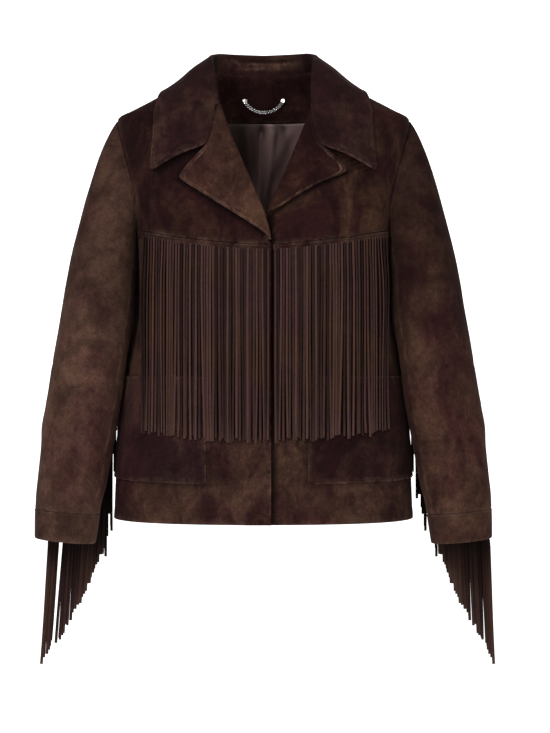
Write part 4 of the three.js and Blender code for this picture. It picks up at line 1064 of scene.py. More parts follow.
def rounded_corners(us, vs, corner_u, corner_v):
    """Shares of a grid whose two lower corners are rounded off over those shares."""
    u, down = np.meshgrid(us, vs)
    for at_right in (False, True):
        along = 1 - u if at_right else u
        a, b = np.clip(1 - along / corner_u, 0, 1), np.clip(1 - down / corner_v, 0, 1)
        inside = (a > 0) & (b > 0)
        shrink = np.maximum(a, b) / np.maximum(np.hypot(a, b), 1e-9)
        along = np.where(inside, corner_u * (1 - a * shrink), along)
        down = np.where(inside, corner_v * (1 - b * shrink), down)
        u = 1 - along if at_right else along
    return u, down


def rounded_tips(grid, us, vs, radius):
    """Shares of a grid whose two higher corners are rounded off, with that radius in millimetres."""
    reach = reaches(grid)
    u, v = np.meshgrid(us, vs)
    high = reach["high"]
    for edge in ("left", "right"):
        near = reach[edge]
        a, b = np.clip(1 - near / radius, 0, 1), np.clip(1 - high / radius, 0, 1)
        shrink = np.maximum(a, b) / np.maximum(np.hypot(a, b), 1e-9)
        for j, i in zip(*np.nonzero((a > 0) & (b > 0))):
            row, column = np.argsort(near[j]), np.argsort(high[:, i])
            u[j, i] = np.interp(radius * (1 - a[j, i] * shrink[j, i]), near[j][row], us[row])
            v[j, i] = np.interp(radius * (1 - b[j, i] * shrink[j, i]), high[column, i], vs[column])
    return u, v


def resampled(grid, us, vs, u, v):
    """A grid of points over shares us and vs, read at other shares."""
    i = np.clip(np.searchsorted(us, u, side="right") - 1, 0, len(us) - 2)
    j = np.clip(np.searchsorted(vs, v, side="right") - 1, 0, len(vs) - 2)
    s = ((u - us[i]) / (us[i + 1] - us[i]))[..., None]
    t = ((v - vs[j]) / (vs[j + 1] - vs[j]))[..., None]
    return lerp(lerp(grid[j, i], grid[j, i + 1], s), lerp(grid[j + 1, i], grid[j + 1, i + 1], s), t)


def build_pockets():
    """Patch pockets, open along the top."""
    for name, side in SIDES:
        us, vs = (graded(length, coarse=3.5, band=9) for length in (135, 140))
        us, vs = rounded_corners(us, vs, POCKET_CORNER, POCKET_CORNER)
        z = lerp(POCKET_BOTTOM - POCKET_SLOPE * (1 - us), POCKET_TOP, vs)
        angle = lerp(angle_at(POCKET_INNER[side], z), 90 - 0.6, us)
        grid = torso(side, angle, z, POCKET_OFF - POCKET_SIDE_IN * smooth(us, 0.88, 1))
        stitched = [(edge, STITCHED["pocket"]) for edge in ("left", "low", "right")]
        stitched.append(("high", STITCHED["pocket_top"]))
        piece = shell("pocket_" + name, grid, side, POCKET_CLOTH, [suede("suede_pocket_" + name)],
                      stitched=stitched, phase=0.2, wave=0.5)
        settle(piece, "suede", "pocket_" + name)


# ---------------------------------------------------------------- sleeves
def build_sleeves():
    """Two-piece sleeves, upper and under."""
    for name, side in SIDES:
        for part, count in (("top", 250), ("under", 110)):
            us, vs = graded(count), graded(560)
            row = np.interp(vs * (len(SLEEVE_ROWS) - 1), np.arange(len(SLEEVE_ROWS)), SLEEVE_ROWS)[:, None]
            hind = hind_seam_at(row)
            if part == "top":
                angle = lerp(FRONT_SEAM - 0.2, hind - 360 + 0.2, us)
            else:
                angle = lerp(FRONT_SEAM + 0.2, hind - 0.2, us)
            stitched = [("low", STITCHED["sleeve"])] if part == "top" else []
            # Painted shade over the upper sleeve.
            shade = SLEEVE_SHADE[side] * (1 - smooth(row + 0 * angle, 1.0, 3.2))
            piece = shell(f"sleeve_{part}_{name}", sleeve_surface(side, angle, row),
                          -side if part == "top" else side, CLOTH,
                          [suede("suede_sleeve_" + name), satin()],
                          stitched=stitched, phase=side + 0.3, wave=0.8, shade=shade)
            settle(piece, "suede", f"sleeve_{part}_{name}")


def build_armhole_tapes():
    """Tapes sewn inside the armhole seams."""
    for name, side in SIDES:
        round_it = np.linspace(0, 360, 121)
        body = armhole(side, round_it, -TAPE_BODY_OUT) + np.array([-side * TAPE_BODY_IN, 0, 0])
        seam = armhole(side, round_it, TAPE_SEAM_INSET) + np.array([-side * TAPE_SEAM_IN, 0, 0])
        cap = sleeve_surface(side, round_it, TAPE_CAP_ROW + 0 * round_it)
        hub = np.array([0, np.mean(seam[:, 1]), np.mean(seam[:, 2])])
        inward = unit((hub - cap) * np.array([0, 1, 1]))
        end = cap + TAPE_CAP_IN * inward
        grid = np.stack([body, lerp(body, seam, 0.5), seam, lerp(seam, end, 0.5), end])
        tape = shell("armhole_tape_" + name, grid, -side, TAPE_CLOTH, [suede("suede_facing")],
                     around=True, wave=0, roll=0.4, rolled=("low", "high"), worn=())
        fix_outward(tape)
        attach(tape, "root")


def build_cuffs():
    """Turned-up cuffs."""
    for name, side in SIDES:
        us = np.linspace(0, 1, 91)
        row = lerp(CUFF_ROW + 0.012, CUFF_END, graded(40, band=8))[:, None]
        grid = sleeve_surface(side, 360 * us, row, 0.6)
        piece = shell("cuff_" + name, grid, side, CUFF_CLOTH, [suede("suede_cuff_" + name), satin()],
                      stitched=[("low", STITCHED["cuff"])], around=True, phase=0.9, wave=0.5)
        settle(piece, "suede", "cuff_" + name)


# ---------------------------------------------------------------- fringe
THONG_SECTION = (
    (-1, -0.55), (-0.8, -1), (0.8, -1), (1, -0.55), (1, 0.55), (0.8, 1), (-0.8, 1), (-1, 0.55),
)


def thong_set(name, paths, widths, thickness, material, shade=None):
    """Flat thongs along paths of points and directions across, in one mesh; shade is a span of heights."""
    corner = np.array(THONG_SECTION)
    vertices, faces, tones, wear_and_highlight, dark = [], [], [], [], []
    for number, ((points, across), width) in enumerate(zip(paths, widths)):
        tangent = unit(np.gradient(points, axis=0))
        across = unit(across - tangent * np.sum(across * tangent, -1, keepdims=True))
        out = np.cross(tangent, across)
        ring = (points[:, None] + across[:, None] * corner[None, :, :1] * width / 2
                + out[:, None] * corner[None, :, 1:] * thickness / 2)
        first, sides = sum(len(v) for v in vertices), len(corner)
        vertices.append(ring.reshape(-1, 3))
        index = first + np.arange(len(points) * sides).reshape(-1, sides)
        turned = np.roll(index, -1, 1)
        faces += np.stack([index[:-1], turned[:-1], turned[1:], index[1:]], -1).reshape(-1, 4).tolist()
        faces += [index[0, ::-1].tolist(), index[-1].tolist()]
        tones.append(np.full(ring.shape[0] * sides, noise(number, 3)))
        wear_and_highlight.append(np.repeat(np.linspace(0, 1, len(points)) ** 12, sides))
        # Painted shade near the top of each thong, where a set asks for it.
        deep = THONG_SHADE * smooth(points[:, 2], *shade) if shade else 0 * points[:, 2]
        dark.append(np.repeat(deep, sides))
    mesh = bpy.data.meshes.new(name)
    mesh.from_pydata((np.concatenate(vertices) * MM).tolist(), [], faces)
    for attribute, values in (("thong_tone", tones), ("rubbed_and_highlit", wear_and_highlight), ("shaded", dark)):
        mesh.attributes.new(attribute, "FLOAT", "POINT").data.foreach_set(
            "value", np.concatenate(values).astype(np.float32))
    mesh.materials.append(material)
    mesh.polygons.foreach_set("use_smooth", np.ones(len(mesh.polygons), bool))
    piece = bpy.data.objects.new(name, mesh)
    bpy.context.scene.collection.objects.link(piece)
    return piece


def joined(name, *pieces):
    """One mesh from several."""
    bpy.ops.object.select_all(action="DESELECT")
    for piece in pieces:
        piece.select_set(True)
    bpy.context.view_layer.objects.active = pieces[0]
    bpy.ops.object.join()
    pieces[0].name = name
    return pieces[0]


THONG_PITCH = 3.8
FRONT_ENDS = {-1: -9.0, 1: 14.5}
FRONT_OUTER = {-1: 163.5, 1: 168.0}
STRIP_OUTER, FRONT_STRIP, FRONT_END = 170.0, 7.5, -512.0
STRIP_LIFT = 2.2
# How a chest thong hangs: its own lean and waver, a slow wave along the row, its clump's lean, and strays.
CHEST_LEAN, CHEST_WAVER, CHEST_WAVE, CHEST_CLUMP, CHEST_STRAY = 1.9, 0.5, 0.7, 2.6, 3.0
CHEST_TWIST, CHEST_TURN = 26, 50
LAYER_LIFT, TIP_CURL = 1.3, 5.0


def on_front(side, x, z, out):
    angle = angle_at(x, z)
    return torso(side, angle, z, out + overlap_lift(side, angle, z))


def build_chest_fringe():
    """Fringe below the front yokes: a stitched strip and flat thongs in two layers."""
    width = sizes().thong_width / MM
    cloth = sizes().thong_cloth / MM
    for name, side in SIDES:
        inner = FRONT_ENDS[side]
        outer = FRONT_OUTER[side]
        us = graded(STRIP_OUTER - inner + 2, band=6)
        x = lerp(inner - 1, STRIP_OUTER, us)[None, :]
        bottom = yoke_seam_at(x) - SEAM_GAP - FRONT_STRIP
        z = bottom + (FRONT_STRIP - 0.5) * np.linspace(0, 1, 9)[:, None]
        grid = on_front(side, x + 0 * z, z, STRIP_LIFT)
        strip = shell("strip_" + name, grid, side, CHEST_STRIP_CLOTH, [suede("suede_yoke_" + name)],
                      stitched=[("high", STITCHED["strip"])], wave=0.0, roll=0.8)
        count = int((outer - inner) / THONG_PITCH)
        paths = []
        for i in range(count):
            x = inner + (i + 0.5) * (outer - inner) / count
            top = float(yoke_seam_at(x)) - SEAM_GAP - FRONT_STRIP + 1.5
            end = FRONT_END + 11 * (x / outer) ** 2 - 7 * noise(i, side) + 2
            t = np.linspace(0, 1, 26)
            sway = (noise(i, 1) - 0.5) * CHEST_LEAN * t**1.4
            sway = sway + CHEST_WAVER * np.sin(t * (3 + 3 * noise(i, 2)) + 6 * noise(i, 4)) * t
            sway = sway + CHEST_WAVE * np.sin(0.9 * i + 3 * t) * t
            sway = sway + CHEST_CLUMP * (noise(i // 4, 21) - 0.5) * t**1.2
            sway = sway + (noise(i, 22) > 0.86) * CHEST_STRAY * (noise(i, 23) - 0.5) * t
            layer = LAYER_LIFT * (noise(i, 5) > 0.45)
            curl = (noise(i, 6) > 0.9) * TIP_CURL * np.maximum(t - 0.9, 0) ** 1.2 * 10
            rise = STRIP_LIFT + (0.9 + layer) * smooth(t, 0, 0.25) + 1.4 * t + curl
            z = lerp(top, end, t)
            points = on_front(side, x + sway, z, rise)
            across = on_front(side, x + sway + 1, z, rise) - points
            twist = np.radians(CHEST_TWIST) * np.sin(3 * t + 6 * noise(i, 7)) * t
            twist = twist + np.radians(CHEST_TURN) * (noise(i, 8) - 0.5)
            away = on_front(side, x + sway, z, rise + 1) - points
            turned = unit(across) * np.cos(twist)[:, None] + unit(away) * np.sin(twist)[:, None]
            paths.append((points, turned))
        widths = width * (0.86 + 0.24 * noise(np.arange(count), 9))
        thongs = thong_set("chest_thongs_" + name, paths, widths, cloth, thong_suede("thong_suede", 1.0))
        piece = joined("chest_thongs_" + name, thongs, strip)
        settle(piece, "fringe_suede", "front_fringe_" + name)


ARM_THONG_GAIN = 0.68
# Heights over which the painted shade under the cuff fades out down the sleeve thongs.
ARM_SHADE = (-712.0, -655.0)
SLEEVE_STRIP, SLEEVE_THONG_LENGTH = 7.0, 188.0
SLEEVE_FROM, SLEEVE_TO = 0.6, 6.9
PARTING_ROW = 6.45
LOW_LEAN = {-1: 12.0, 1: 7.0}
# How far the thongs of a sleeve's rows hang inwards of their seam, and how far they part into two locks.
FRINGE_DRIFT = {
    -1: table("row in", (3.2, -1), (3.9, 7.5), (4.5, 11.5), (5.6, 14), (6.4, 17), (6.9, 10)),
    1: table("row in", (3.2, -1), (3.7, -7), (4.4, -11), (5.2, -11), (5.6, -9), (6.4, -7), (6.9, -6)),
}
PARTED = {-1: 2.8, 1: 0.0}
ARM_THONG_PITCH = 3.7
# The same for a sleeve's thongs, which are a little wider; their drop is a share of the full length.
ARM_LEAN, ARM_WAVER, ARM_CLUMP = 1.8, 0.6, 3.4
ARM_TURN, ARM_TWIST = 24, 14
ARM_EXTRA_WIDTH = 0.9
ARM_DROP, ARM_DROP_OWN, ARM_DROP_CLUMP = 0.940, 0.05, 0.04


def parting(side, row):
    """How far the thongs of a row part to either side, leaving a gap between two locks."""
    away = row - PARTING_ROW
    return PARTED[side] * math.copysign(1, away) * math.exp(-((away / 0.35) ** 2))


def build_sleeve_fringe():
    """Fringe in the hind seam of each sleeve, hanging straight down past the cuff."""
    width = sizes().thong_width / MM
    cloth = sizes().thong_cloth / MM
    for name, side in SIDES:
        rows = np.linspace(SLEEVE_FROM, SLEEVE_TO, 150)
        wide = np.degrees(SLEEVE_STRIP / arm_depth(ARM_TOP - np.maximum(rows - 1, 0) / ROWS_PER_MM))
        raised = 0.8 + 0.7 * smooth(rows, CUFF_ROW - 0.12, CUFF_ROW - 0.06)
        share = np.linspace(-0.5, 0.5, 7)[:, None]
        angles = hind_seam_at(rows) + share * wide
        grid = sleeve_surface(side, angles, rows + 0 * angles, raised + ARM_STRIP_CLOTH)
        strip = shell("sleeve_strip_" + name, grid, side, ARM_STRIP_CLOTH,
                      [suede("suede_sleeve_" + name)], wave=0.0, roll=0.8)
        fix_outward(strip)
        seam = sleeve_surface(side, hind_seam_at(rows) - wide / 2, rows, raised + 0.6)
        length = np.concatenate([[0], np.cumsum(np.linalg.norm(np.diff(seam, axis=0), axis=1))])
        places = np.arange(2.5, length[-1] - 2, ARM_THONG_PITCH)
        paths, widths = [], []
        for i, place in enumerate(places):
            root = np.array([np.interp(place, length, seam[:, k]) for k in range(3)])
            row = np.interp(place, length, rows)
            low = root + np.array([0, 0, -1.0])
            centre = np.array([side * arm_x(root[2]), arm_y(root[2]), root[2]])
            out = unit((root - centre) * np.array([1, 1, 0]))
            out = unit(np.array([0.08 * out[0], max(out[1], 0.5), 0]))
            aside = np.array([side * 1.0, 0.0, 0.0])
            steep = 1 - smooth(row, 4.2, 5.0)
            lane = steep * (15 * noise(i, 11) - 1) + (1 - steep) * 1.6 * (noise(i, 12) - 0.5)
            lane += parting(side, row) * (1 - steep)
            lane -= np.interp(row, FRINGE_DRIFT[side]["row"], FRINGE_DRIFT[side]["in"])
            depth = 3.5 + 7.5 * noise(i, 13) * (0.4 + 0.6 * steep)
            fall = ARM_DROP + ARM_DROP_OWN * noise(i, 14) + ARM_DROP_CLUMP * noise(i // 3, 22)
            drop = SLEEVE_THONG_LENGTH * fall
            t = np.linspace(0, 1, 24)
            gone = smooth(t, 0, 0.10)
            lean = (2 + LOW_LEAN[side] * (1 - steep)) * t
            sway = ARM_LEAN * (noise(i, 15) - 0.5) * t
            sway = sway + ARM_WAVER * np.sin(4 * t + 6 * noise(i, 16)) * t + lean
            sway = sway + ARM_CLUMP * (noise(i // 3, 21) - 0.5) * t
            points = low + np.outer(gone * lane + sway, aside) + np.outer(gone * depth + 6 * t, out * 0.9)
            points[:, 2] -= drop * t
            turn = np.radians(ARM_TURN) * (noise(i, 17) - 0.5) + np.radians(ARM_TWIST) * np.sin(3 * t + i) * t
            flat = np.cross(out, np.array([0, 0, 1.0]))
            across = np.outer(np.cos(turn), flat) + np.outer(np.sin(turn), out)
            paths.append((points, across))
            widths.append((width + ARM_EXTRA_WIDTH) * (0.92 + 0.16 * noise(i, 18)))
        finish = thong_suede("thong_suede_arm", ARM_THONG_GAIN)
        thongs = thong_set("arm_thongs_" + name, paths, widths, cloth, finish, shade=ARM_SHADE)
        piece = joined("arm_thongs_" + name, thongs, strip)
        settle(piece, "fringe_suede", "sleeve_fringe_" + name)


def fix_outward(piece):
    """Turns the faces of a closed wall out if its volume says they point in."""
    mesh = piece.data
    mesh.calc_loop_triangles()
    points = np.array([v.co for v in mesh.vertices])
    corners = np.array([t.vertices for t in mesh.loop_triangles])
    a, b, c = (points[corners[:, k]] for k in range(3))
    if np.sum(a * np.cross(b, c)) < 0:
        mesh.flip_normals()


# ---------------------------------------------------------------- inside the neck
BEHIND_GAP = 1.2
BEHIND = -CLOTH - BEHIND_GAP
LINING_COLUMNS = 141


def neck_grid(reach, bottom, rows, drop):
    """Points inside the back neck: the facing with drop 0, or the folded lining below it with drop 1."""
    spread = np.linspace(-1, 1, LINING_COLUMNS)[None, :]
    side = np.where(spread < 0, -1.0, 1.0)
    if drop == 0:
        top, low = NECK_Z + 3.2, bottom + FACING_RISE * spread**2
    else:
        top = FACING_BOTTOM - 0.6 + FACING_RISE * (spread * LINING_REACH / FACING_REACH) ** 2
        low = bottom
    v = np.linspace(0, 1, rows)[:, None]
    z = lerp(low, top, v)
    angle = 180 - reach * np.abs(spread) + 0 * z
    fold = sum(high * np.exp(-(((spread - middle + slant * (1 - v)) / across) ** 2))
               for middle, slant, across, high in LINING_FOLDS)
    inward = drop * fold * (1 - 0.8 * smooth(v, 0.9, 1))
    return torso(side + 0 * z, angle, z, BEHIND - inward)


def lining_shade(rows):
    """Dark hollows between the folds of the lining, as a grid."""
    spread, v = np.linspace(-1, 1, LINING_COLUMNS)[None, :], np.linspace(0, 1, rows)[:, None]
    total = 0.82 * (1 - smooth(v, 0.0, 0.62))
    for (middle, high), (across, reach), depth in LINING_HOLLOWS:
        dark = depth * np.exp(-(((spread - middle) / across) ** 2) - ((v - high) / reach) ** 2)
        total = np.maximum(total, dark)
    return total


def build_neck_lining():
    """The suede facing and the satin lining inside the back neck."""
    facing = shell("neck_facing", neck_grid(FACING_REACH, FACING_BOTTOM, 24, 0), -1, FACING_CLOTH,
                   [suede("suede_facing")], stitched=[("low", STITCHED["facing"])], worn=("low",), wave=0.3)
    settle(facing, "suede", "neck_facing")
    lining = shell("back_lining", neck_grid(LINING_REACH, LINING_BOTTOM, 50, 1), -1, LINING_CLOTH,
                   [satin()], wave=0.4, shade=lining_shade(50))
    settle(lining, "lining_satin", "back_lining")


# ---------------------------------------------------------------- repeats by geometry nodes
def node_tree(name, inputs):
    """An empty geometry node tree with those inputs: name to (socket type, default)."""
    tree = bpy.data.node_groups.new(name, "GeometryNodeTree")
    tree.interface.new_socket("Geometry", in_out="INPUT", socket_type="NodeSocketGeometry")
    for label, (kind, default) in inputs.items():
        socket = tree.interface.new_socket(label, in_out="INPUT", socket_type=kind)
        if default is not None:
            socket.default_value = default
    tree.interface.new_socket("Geometry", in_out="OUTPUT", socket_type="NodeSocketGeometry")
    return tree


def add_node(tree, kind, **settings):
    node = tree.nodes.new(kind)
    for name, value in settings.items():
        setattr(node, name, value)
    return node


def repeated(name, lines, tree, values, material):
    """The mesh that a tree makes along lines of points, as a plain object."""
    points = np.concatenate(lines) * MM
    ends = np.cumsum([len(line) for line in lines])
    pairs = [(i, i + 1) for i in range(len(points) - 1) if i + 1 not in ends]
    mesh = bpy.data.meshes.new(name + "_lines")
    mesh.from_pydata(points.tolist(), pairs, [])
    carrier = bpy.data.objects.new(name + "_lines", mesh)
    bpy.context.scene.collection.objects.link(carrier)
    modifier = carrier.modifiers.new("Repeat", "NODES")
    modifier.node_group = tree
    sockets = {item.name: item.identifier for item in tree.interface.items_tree if item.in_out == "INPUT"}
    for label, value in {**values, "Material": material}.items():
        modifier[sockets[label]] = value
    carrier.update_tag()
    bpy.context.view_layer.update()
    evaluated = carrier.evaluated_get(bpy.context.evaluated_depsgraph_get())
    result = bpy.data.meshes.new_from_object(evaluated)
    bpy.data.objects.remove(carrier)
    result.name = name
    piece = bpy.data.objects.new(name, result)
    bpy.context.scene.collection.objects.link(piece)
    return piece


def points_along(tree, start):
    """Nodes for points at an even pitch along the lines, and for the lines' direction there."""
    to_curve = add_node(tree, "GeometryNodeMeshToCurve")
    resample = add_node(tree, "GeometryNodeResampleCurve")
    if hasattr(resample, "mode"):
        resample.mode = "LENGTH"
    else:
        resample.inputs["Mode"].default_value = "Length"
    tangent = add_node(tree, "GeometryNodeInputTangent")
    tree.links.new(start.outputs["Geometry"], to_curve.inputs["Mesh"])
    tree.links.new(to_curve.outputs["Curve"], resample.inputs["Curve"])
    tree.links.new(start.outputs["Pitch"], resample.inputs["Length"])
    return resample, tangent


def stitch_tree():
    """Stitches along lines: short thread lengths at an even pitch."""
    tree = node_tree("stitches", {
        "Pitch": ("NodeSocketFloat", 0.0034), "Length": ("NodeSocketFloat", 0.0025),
        "Radius": ("NodeSocketFloat", 0.0004), "Material": ("NodeSocketMaterial", None),
    })
    start, end = tree.nodes.new("NodeGroupInput"), tree.nodes.new("NodeGroupOutput")
    resample, tangent = points_along(tree, start)
    align = add_node(tree, "FunctionNodeAlignRotationToVector", axis="Z")
    ball = add_node(tree, "GeometryNodeMeshUVSphere")
    ball.inputs["Segments"].default_value = 6
    ball.inputs["Rings"].default_value = 4
    ball.inputs["Radius"].default_value = 1.0
    half = add_node(tree, "ShaderNodeMath", operation="MULTIPLY")
    half.inputs[1].default_value = 0.5
    scale = add_node(tree, "ShaderNodeCombineXYZ")
    place = add_node(tree, "GeometryNodeInstanceOnPoints")
    realize = add_node(tree, "GeometryNodeRealizeInstances")
    paint = add_node(tree, "GeometryNodeSetMaterial")
    join = tree.links.new
    join(resample.outputs["Curve"], place.inputs["Points"])
    join(tangent.outputs["Tangent"], align.inputs["Vector"])
    join(ball.outputs["Mesh"], place.inputs["Instance"])
    join(align.outputs["Rotation"], place.inputs["Rotation"])
    join(start.outputs["Length"], half.inputs[0])
    join(start.outputs["Radius"], scale.inputs["X"])
    join(start.outputs["Radius"], scale.inputs["Y"])
    join(half.outputs[0], scale.inputs["Z"])
    join(scale.outputs["Vector"], place.inputs["Scale"])
    join(place.outputs["Instances"], realize.inputs["Geometry"])
    join(realize.outputs["Geometry"], paint.inputs["Geometry"])
    join(start.outputs["Material"], paint.inputs["Material"])
    join(paint.outputs["Geometry"], end.inputs["Geometry"])
    return tree


def link_tree():
    """Separate oval links along a line, all turned the same way."""
    tree = node_tree("chain_links", {
        "Pitch": ("NodeSocketFloat", 0.003), "Length": ("NodeSocketFloat", 0.005),
        "Width": ("NodeSocketFloat", 0.0033), "Wire": ("NodeSocketFloat", 0.0009),
        "Material": ("NodeSocketMaterial", None),
    })
    start, end = tree.nodes.new("NodeGroupInput"), tree.nodes.new("NodeGroupOutput")
    resample, tangent = points_along(tree, start)
    align = add_node(tree, "FunctionNodeAlignRotationToVector", axis="X")
    spin = add_node(tree, "FunctionNodeEulerToRotation")
    spin.inputs["Euler"].default_value = [math.radians(angle) for angle in LINK_TURN]
    rotate = add_node(tree, "FunctionNodeRotateRotation", rotation_space="LOCAL")
    circle = add_node(tree, "GeometryNodeCurvePrimitiveCircle")
    circle.inputs["Resolution"].default_value = 18
    circle.inputs["Radius"].default_value = 0.5
    inner_length = add_node(tree, "ShaderNodeMath", operation="SUBTRACT")
    inner_width = add_node(tree, "ShaderNodeMath", operation="SUBTRACT")
    stretch = add_node(tree, "ShaderNodeCombineXYZ")
    stretch.inputs["Z"].default_value = 1
    shape = add_node(tree, "GeometryNodeTransform")
    wire = add_node(tree, "GeometryNodeCurvePrimitiveCircle")
    wire.inputs["Resolution"].default_value = 8
    half = add_node(tree, "ShaderNodeMath", operation="MULTIPLY")
    half.inputs[1].default_value = 0.5
    tube = add_node(tree, "GeometryNodeCurveToMesh")
    place = add_node(tree, "GeometryNodeInstanceOnPoints")
    realize = add_node(tree, "GeometryNodeRealizeInstances")
    even = add_node(tree, "GeometryNodeSetShadeSmooth")
    paint = add_node(tree, "GeometryNodeSetMaterial")
    join = tree.links.new
    join(resample.outputs["Curve"], place.inputs["Points"])
    join(tangent.outputs["Tangent"], align.inputs["Vector"])
    join(align.outputs["Rotation"], rotate.inputs["Rotation"])
    join(spin.outputs["Rotation"], rotate.inputs["Rotate By"])
    join(rotate.outputs["Rotation"], place.inputs["Rotation"])
    join(start.outputs["Length"], inner_length.inputs[0])
    join(start.outputs["Wire"], inner_length.inputs[1])
    join(start.outputs["Width"], inner_width.inputs[0])
    join(start.outputs["Wire"], inner_width.inputs[1])
    join(inner_length.outputs[0], stretch.inputs["X"])
    join(inner_width.outputs[0], stretch.inputs["Y"])
    join(circle.outputs["Curve"], shape.inputs["Geometry"])
    join(stretch.outputs["Vector"], shape.inputs["Scale"])
    join(start.outputs["Wire"], half.inputs[0])
    join(half.outputs[0], wire.inputs["Radius"])
    join(shape.outputs["Geometry"], tube.inputs["Curve"])
    join(wire.outputs["Curve"], tube.inputs["Profile Curve"])
    join(tube.outputs["Mesh"], place.inputs["Instance"])
    join(place.outputs["Instances"], realize.inputs["Geometry"])
    join(realize.outputs["Geometry"], even.inputs["Geometry"])
    join(even.outputs["Geometry"], paint.inputs["Geometry"])
    join(start.outputs["Material"], paint.inputs["Material"])
    join(paint.outputs["Geometry"], end.inputs["Geometry"])
    return tree


# Half section of a rivet's cap: radius and height, as shares of its radius.
RIVET_PROFILE = (
    (0, 0), (0.86, 0), (1.0, 0.10), (1.0, 0.22), (0.93, 0.36), (0.72, 0.48), (0.66, 0.46),
    (0.58, 0.44), (0.42, 0.55), (0.2, 0.62), (0, 0.64),
)


def rivet_centre(side):
    low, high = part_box("rivet_right" if side < 0 else "rivet_left")
    return np.array((low + high) / 2) / MM


def build_hanger():
    """The hanger chain and its two rivets inside the back neck."""
    start, end = rivet_centre(-1), rivet_centre(1)
    t = np.linspace(0, 1, 60)[:, None]
    line = lerp(start, end, t)
    line[:, 2] -= (1.5 + CHAIN_SAG * (1 - np.abs(2 * t - 1) ** 2.4))[:, 0]
    line[:, 1] -= (0.6 + 3.0 * np.sin(np.pi * t))[:, 0]
    group = sizes()
    values = {"Pitch": LINK_PITCH * group.link_length, "Length": group.link_length,
              "Width": group.link_width, "Wire": group.link_wire}
    piece = repeated("hanger_chain_links", [line], link_tree(), values, steel())
    settle(piece, "chain_metal", "hanger_chain")
    profile = np.array(RIVET_PROFILE) * RIVET_RADIUS
    turns = np.radians(np.arange(0, 360, 10))
    for name, side in SIDES:
        low, high = (np.array(corner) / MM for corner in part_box("rivet_" + name))
        centre = (low + high) / 2
        axis = unit(np.array([-RIVET_LEAN[0] * side, -1, RIVET_LEAN[1]]))
        first = unit(np.cross(axis, (0, 0, 1)))
        second = np.cross(axis, first)
        base = centre - axis * 1.0
        around = np.outer(np.cos(turns), first) + np.outer(np.sin(turns), second)
        rings = [base + axis * h + around * max(r, 0.01) for r, h in profile]
        vertices = np.concatenate(rings)
        count = len(turns)
        index = np.arange(len(vertices)).reshape(-1, count)
        turned = np.roll(index, -1, 1)
        faces = np.stack([index[:-1], turned[:-1], turned[1:], index[1:]], -1).reshape(-1, 4).tolist()
        faces += [index[0, ::-1].tolist(), index[-1].tolist()]
        mesh = bpy.data.meshes.new("rivet_cap_" + name)
        mesh.from_pydata((vertices * MM).tolist(), [], faces)
        mesh.polygons.foreach_set("use_smooth", np.ones(len(mesh.polygons), bool))
        mesh.materials.append(steel())
        cap = bpy.data.objects.new("rivet_cap_" + name, mesh)
        bpy.context.scene.collection.objects.link(cap)
        fix_outward(cap)
        settle(cap, "chain_metal", "rivet_" + name)


def build_stitching():
    """All rows of topstitching."""
    group = sizes()
    values = {"Pitch": group.stitch_pitch, "Length": group.stitch_length, "Radius": group.thread_radius}
    piece = repeated("topstitching", STITCH_LINES, stitch_tree(), values, thread())
    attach(piece, "root")


# ---------------------------------------------------------------- stage
CAMERA_PLACE = (0.0161, -2.400, -0.4147)
CAMERA_LENS = 84.2
FLOOR_Z = -0.875
SWEEP_HALF_WIDTH, SWEEP_NEAR, SWEEP_FAR, SWEEP_ROUND, SWEEP_TOP = 6.0, -6.0, 5.0, 0.8, 4.5
SWEEP_GLOW, SKY_STRENGTH = 0.75, 0.38
LIGHTS_AIM = (0, 0, -0.35)
# Each light's place, size and power.
LIGHTS = {
    "key": ((-1.05, -2.3, 1.1), (0.6, 0.6), 62),
    "fill": ((1.9, -2.2, 0.2), (1.6, 1.8), 20),
    "top": ((0.0, -0.9, 1.7), (1.4, 1.0), 9),
}


def area_light(name, place, aim, size, power):
    data = bpy.data.lights.new(name, "AREA")
    data.shape = "RECTANGLE"
    data.size, data.size_y = size
    data.energy = power
    light = bpy.data.objects.new(name, data)
    light.location = place
    light.rotation_euler = (Vector(aim) - Vector(place)).to_track_quat("-Z", "Y").to_euler()
    bpy.context.scene.collection.objects.link(light)


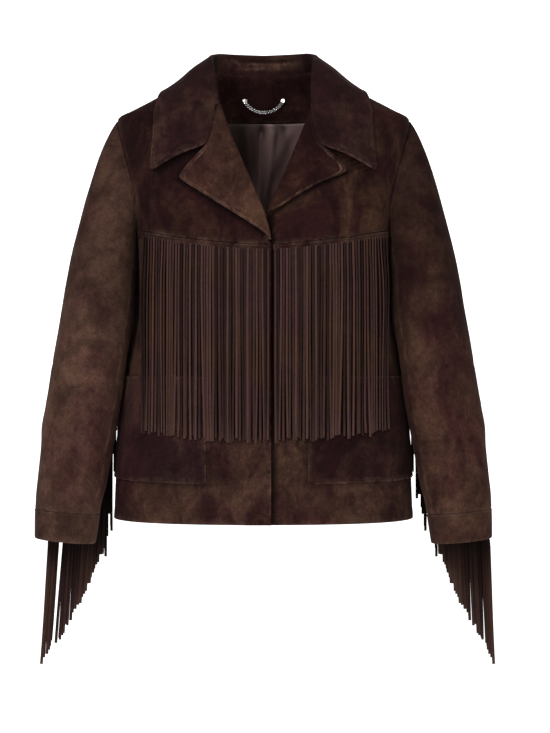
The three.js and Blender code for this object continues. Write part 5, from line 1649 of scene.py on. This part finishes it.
def build_stage():
    """A pale sweep, soft lights and the camera."""
    profile = [(SWEEP_NEAR, 0.0), (SWEEP_FAR, 0.0)]
    profile += [(SWEEP_FAR + SWEEP_ROUND * math.sin(a), SWEEP_ROUND - SWEEP_ROUND * math.cos(a))
                for a in np.radians(np.arange(10, 91, 10))]
    profile.append((SWEEP_FAR + SWEEP_ROUND, SWEEP_TOP))
    vertices = [(x, y, FLOOR_Z + z) for y, z in profile for x in (-SWEEP_HALF_WIDTH, SWEEP_HALF_WIDTH)]
    faces = [(2 * i, 2 * i + 1, 2 * i + 3, 2 * i + 2) for i in range(len(profile) - 1)]
    mesh = bpy.data.meshes.new("sweep")
    mesh.from_pydata(vertices, [], faces)
    mesh.polygons.foreach_set("use_smooth", np.ones(len(mesh.polygons), bool))
    finish = Finish("pale_sweep", Roughness=0.9, Emission_Strength=SWEEP_GLOW)
    finish.shader.inputs["Base Color"].default_value = (0.90, 0.90, 0.90, 1)
    finish.shader.inputs["Emission Color"].default_value = (1, 1, 1, 1)
    mesh.materials.append(finish.material)
    sweep = bpy.data.objects.new("sweep", mesh)
    bpy.context.scene.collection.objects.link(sweep)
    world = bpy.data.worlds.new("studio")
    world.use_nodes = True
    world.node_tree.nodes["Background"].inputs["Color"].default_value = (1, 1, 1, 1)
    world.node_tree.nodes["Background"].inputs["Strength"].default_value = SKY_STRENGTH
    bpy.context.scene.world = world
    for name, (place, size, power) in LIGHTS.items():
        area_light(name, place, LIGHTS_AIM, size, power)
    bpy.context.scene.view_settings.view_transform = "Standard"
    camera = bpy.data.objects.new("camera", bpy.data.cameras.new("camera"))
    camera.data.lens = CAMERA_LENS
    camera.data.sensor_width = 36
    camera.location = CAMERA_PLACE
    camera.rotation_euler = (math.pi / 2, 0, 0)
    camera.data.clip_end = 50
    bpy.context.scene.collection.objects.link(camera)
    bpy.context.scene.camera = camera


# ---------------------------------------------------------------- operators and panel
def operator(name, label, build):
    """An operator class that runs one builder."""

    def execute(self, context):
        build()
        return {"FINISHED"}

    members = {"bl_idname": "jacket." + name, "bl_label": label, "__doc__": build.__doc__, "execute": execute}
    return type("JACKET_OT_" + name, (bpy.types.Operator,), members)


STEPS = [
    operator("back", "Back", build_back),
    operator("fronts", "Fronts", build_fronts),
    operator("yokes", "Yokes", build_yokes),
    operator("lapels", "Lapels", build_lapels),
    operator("collar", "Collar", build_collar),
    operator("pockets", "Pockets", build_pockets),
    operator("sleeves", "Sleeves", build_sleeves),
    operator("armhole_tapes", "Armhole tapes", build_armhole_tapes),
    operator("cuffs", "Cuffs", build_cuffs),
    operator("chest_fringe", "Chest fringe", build_chest_fringe),
    operator("sleeve_fringe", "Sleeve fringe", build_sleeve_fringe),
    operator("neck_lining", "Neck facing and lining", build_neck_lining),
    operator("hanger", "Hanger chain", build_hanger),
    operator("stitching", "Topstitching", build_stitching),
    operator("stage", "Stage", build_stage),
]


class JACKET_PT_panel(bpy.types.Panel):
    """Lists the jacket's settings and steps"""

    bl_idname = "JACKET_PT_panel"
    bl_label = "Jacket"
    bl_space_type = "VIEW_3D"
    bl_region_type = "UI"
    bl_category = "Jacket"

    def draw(self, context):
        for group in (context.scene.jacket_sizes, context.scene.jacket_colours):
            for name in group.__annotations__:
                self.layout.prop(group, name)
        for step in STEPS:
            self.layout.operator(step.bl_idname)


CLASSES = [JacketSizes, JacketColours, *STEPS, JACKET_PT_panel]


def register():
    for item in CLASSES:
        bpy.utils.register_class(item)
    bpy.types.Scene.jacket_sizes = bpy.props.PointerProperty(type=JacketSizes)
    bpy.types.Scene.jacket_colours = bpy.props.PointerProperty(type=JacketColours)


def unregister():
    del bpy.types.Scene.jacket_sizes
    del bpy.types.Scene.jacket_colours
    for item in reversed(CLASSES):
        bpy.utils.unregister_class(item)


def main():
    register()
    for step in STEPS:
        getattr(bpy.ops.jacket, step.bl_idname.split(".")[1])()


if __name__ == "__main__":
    main()
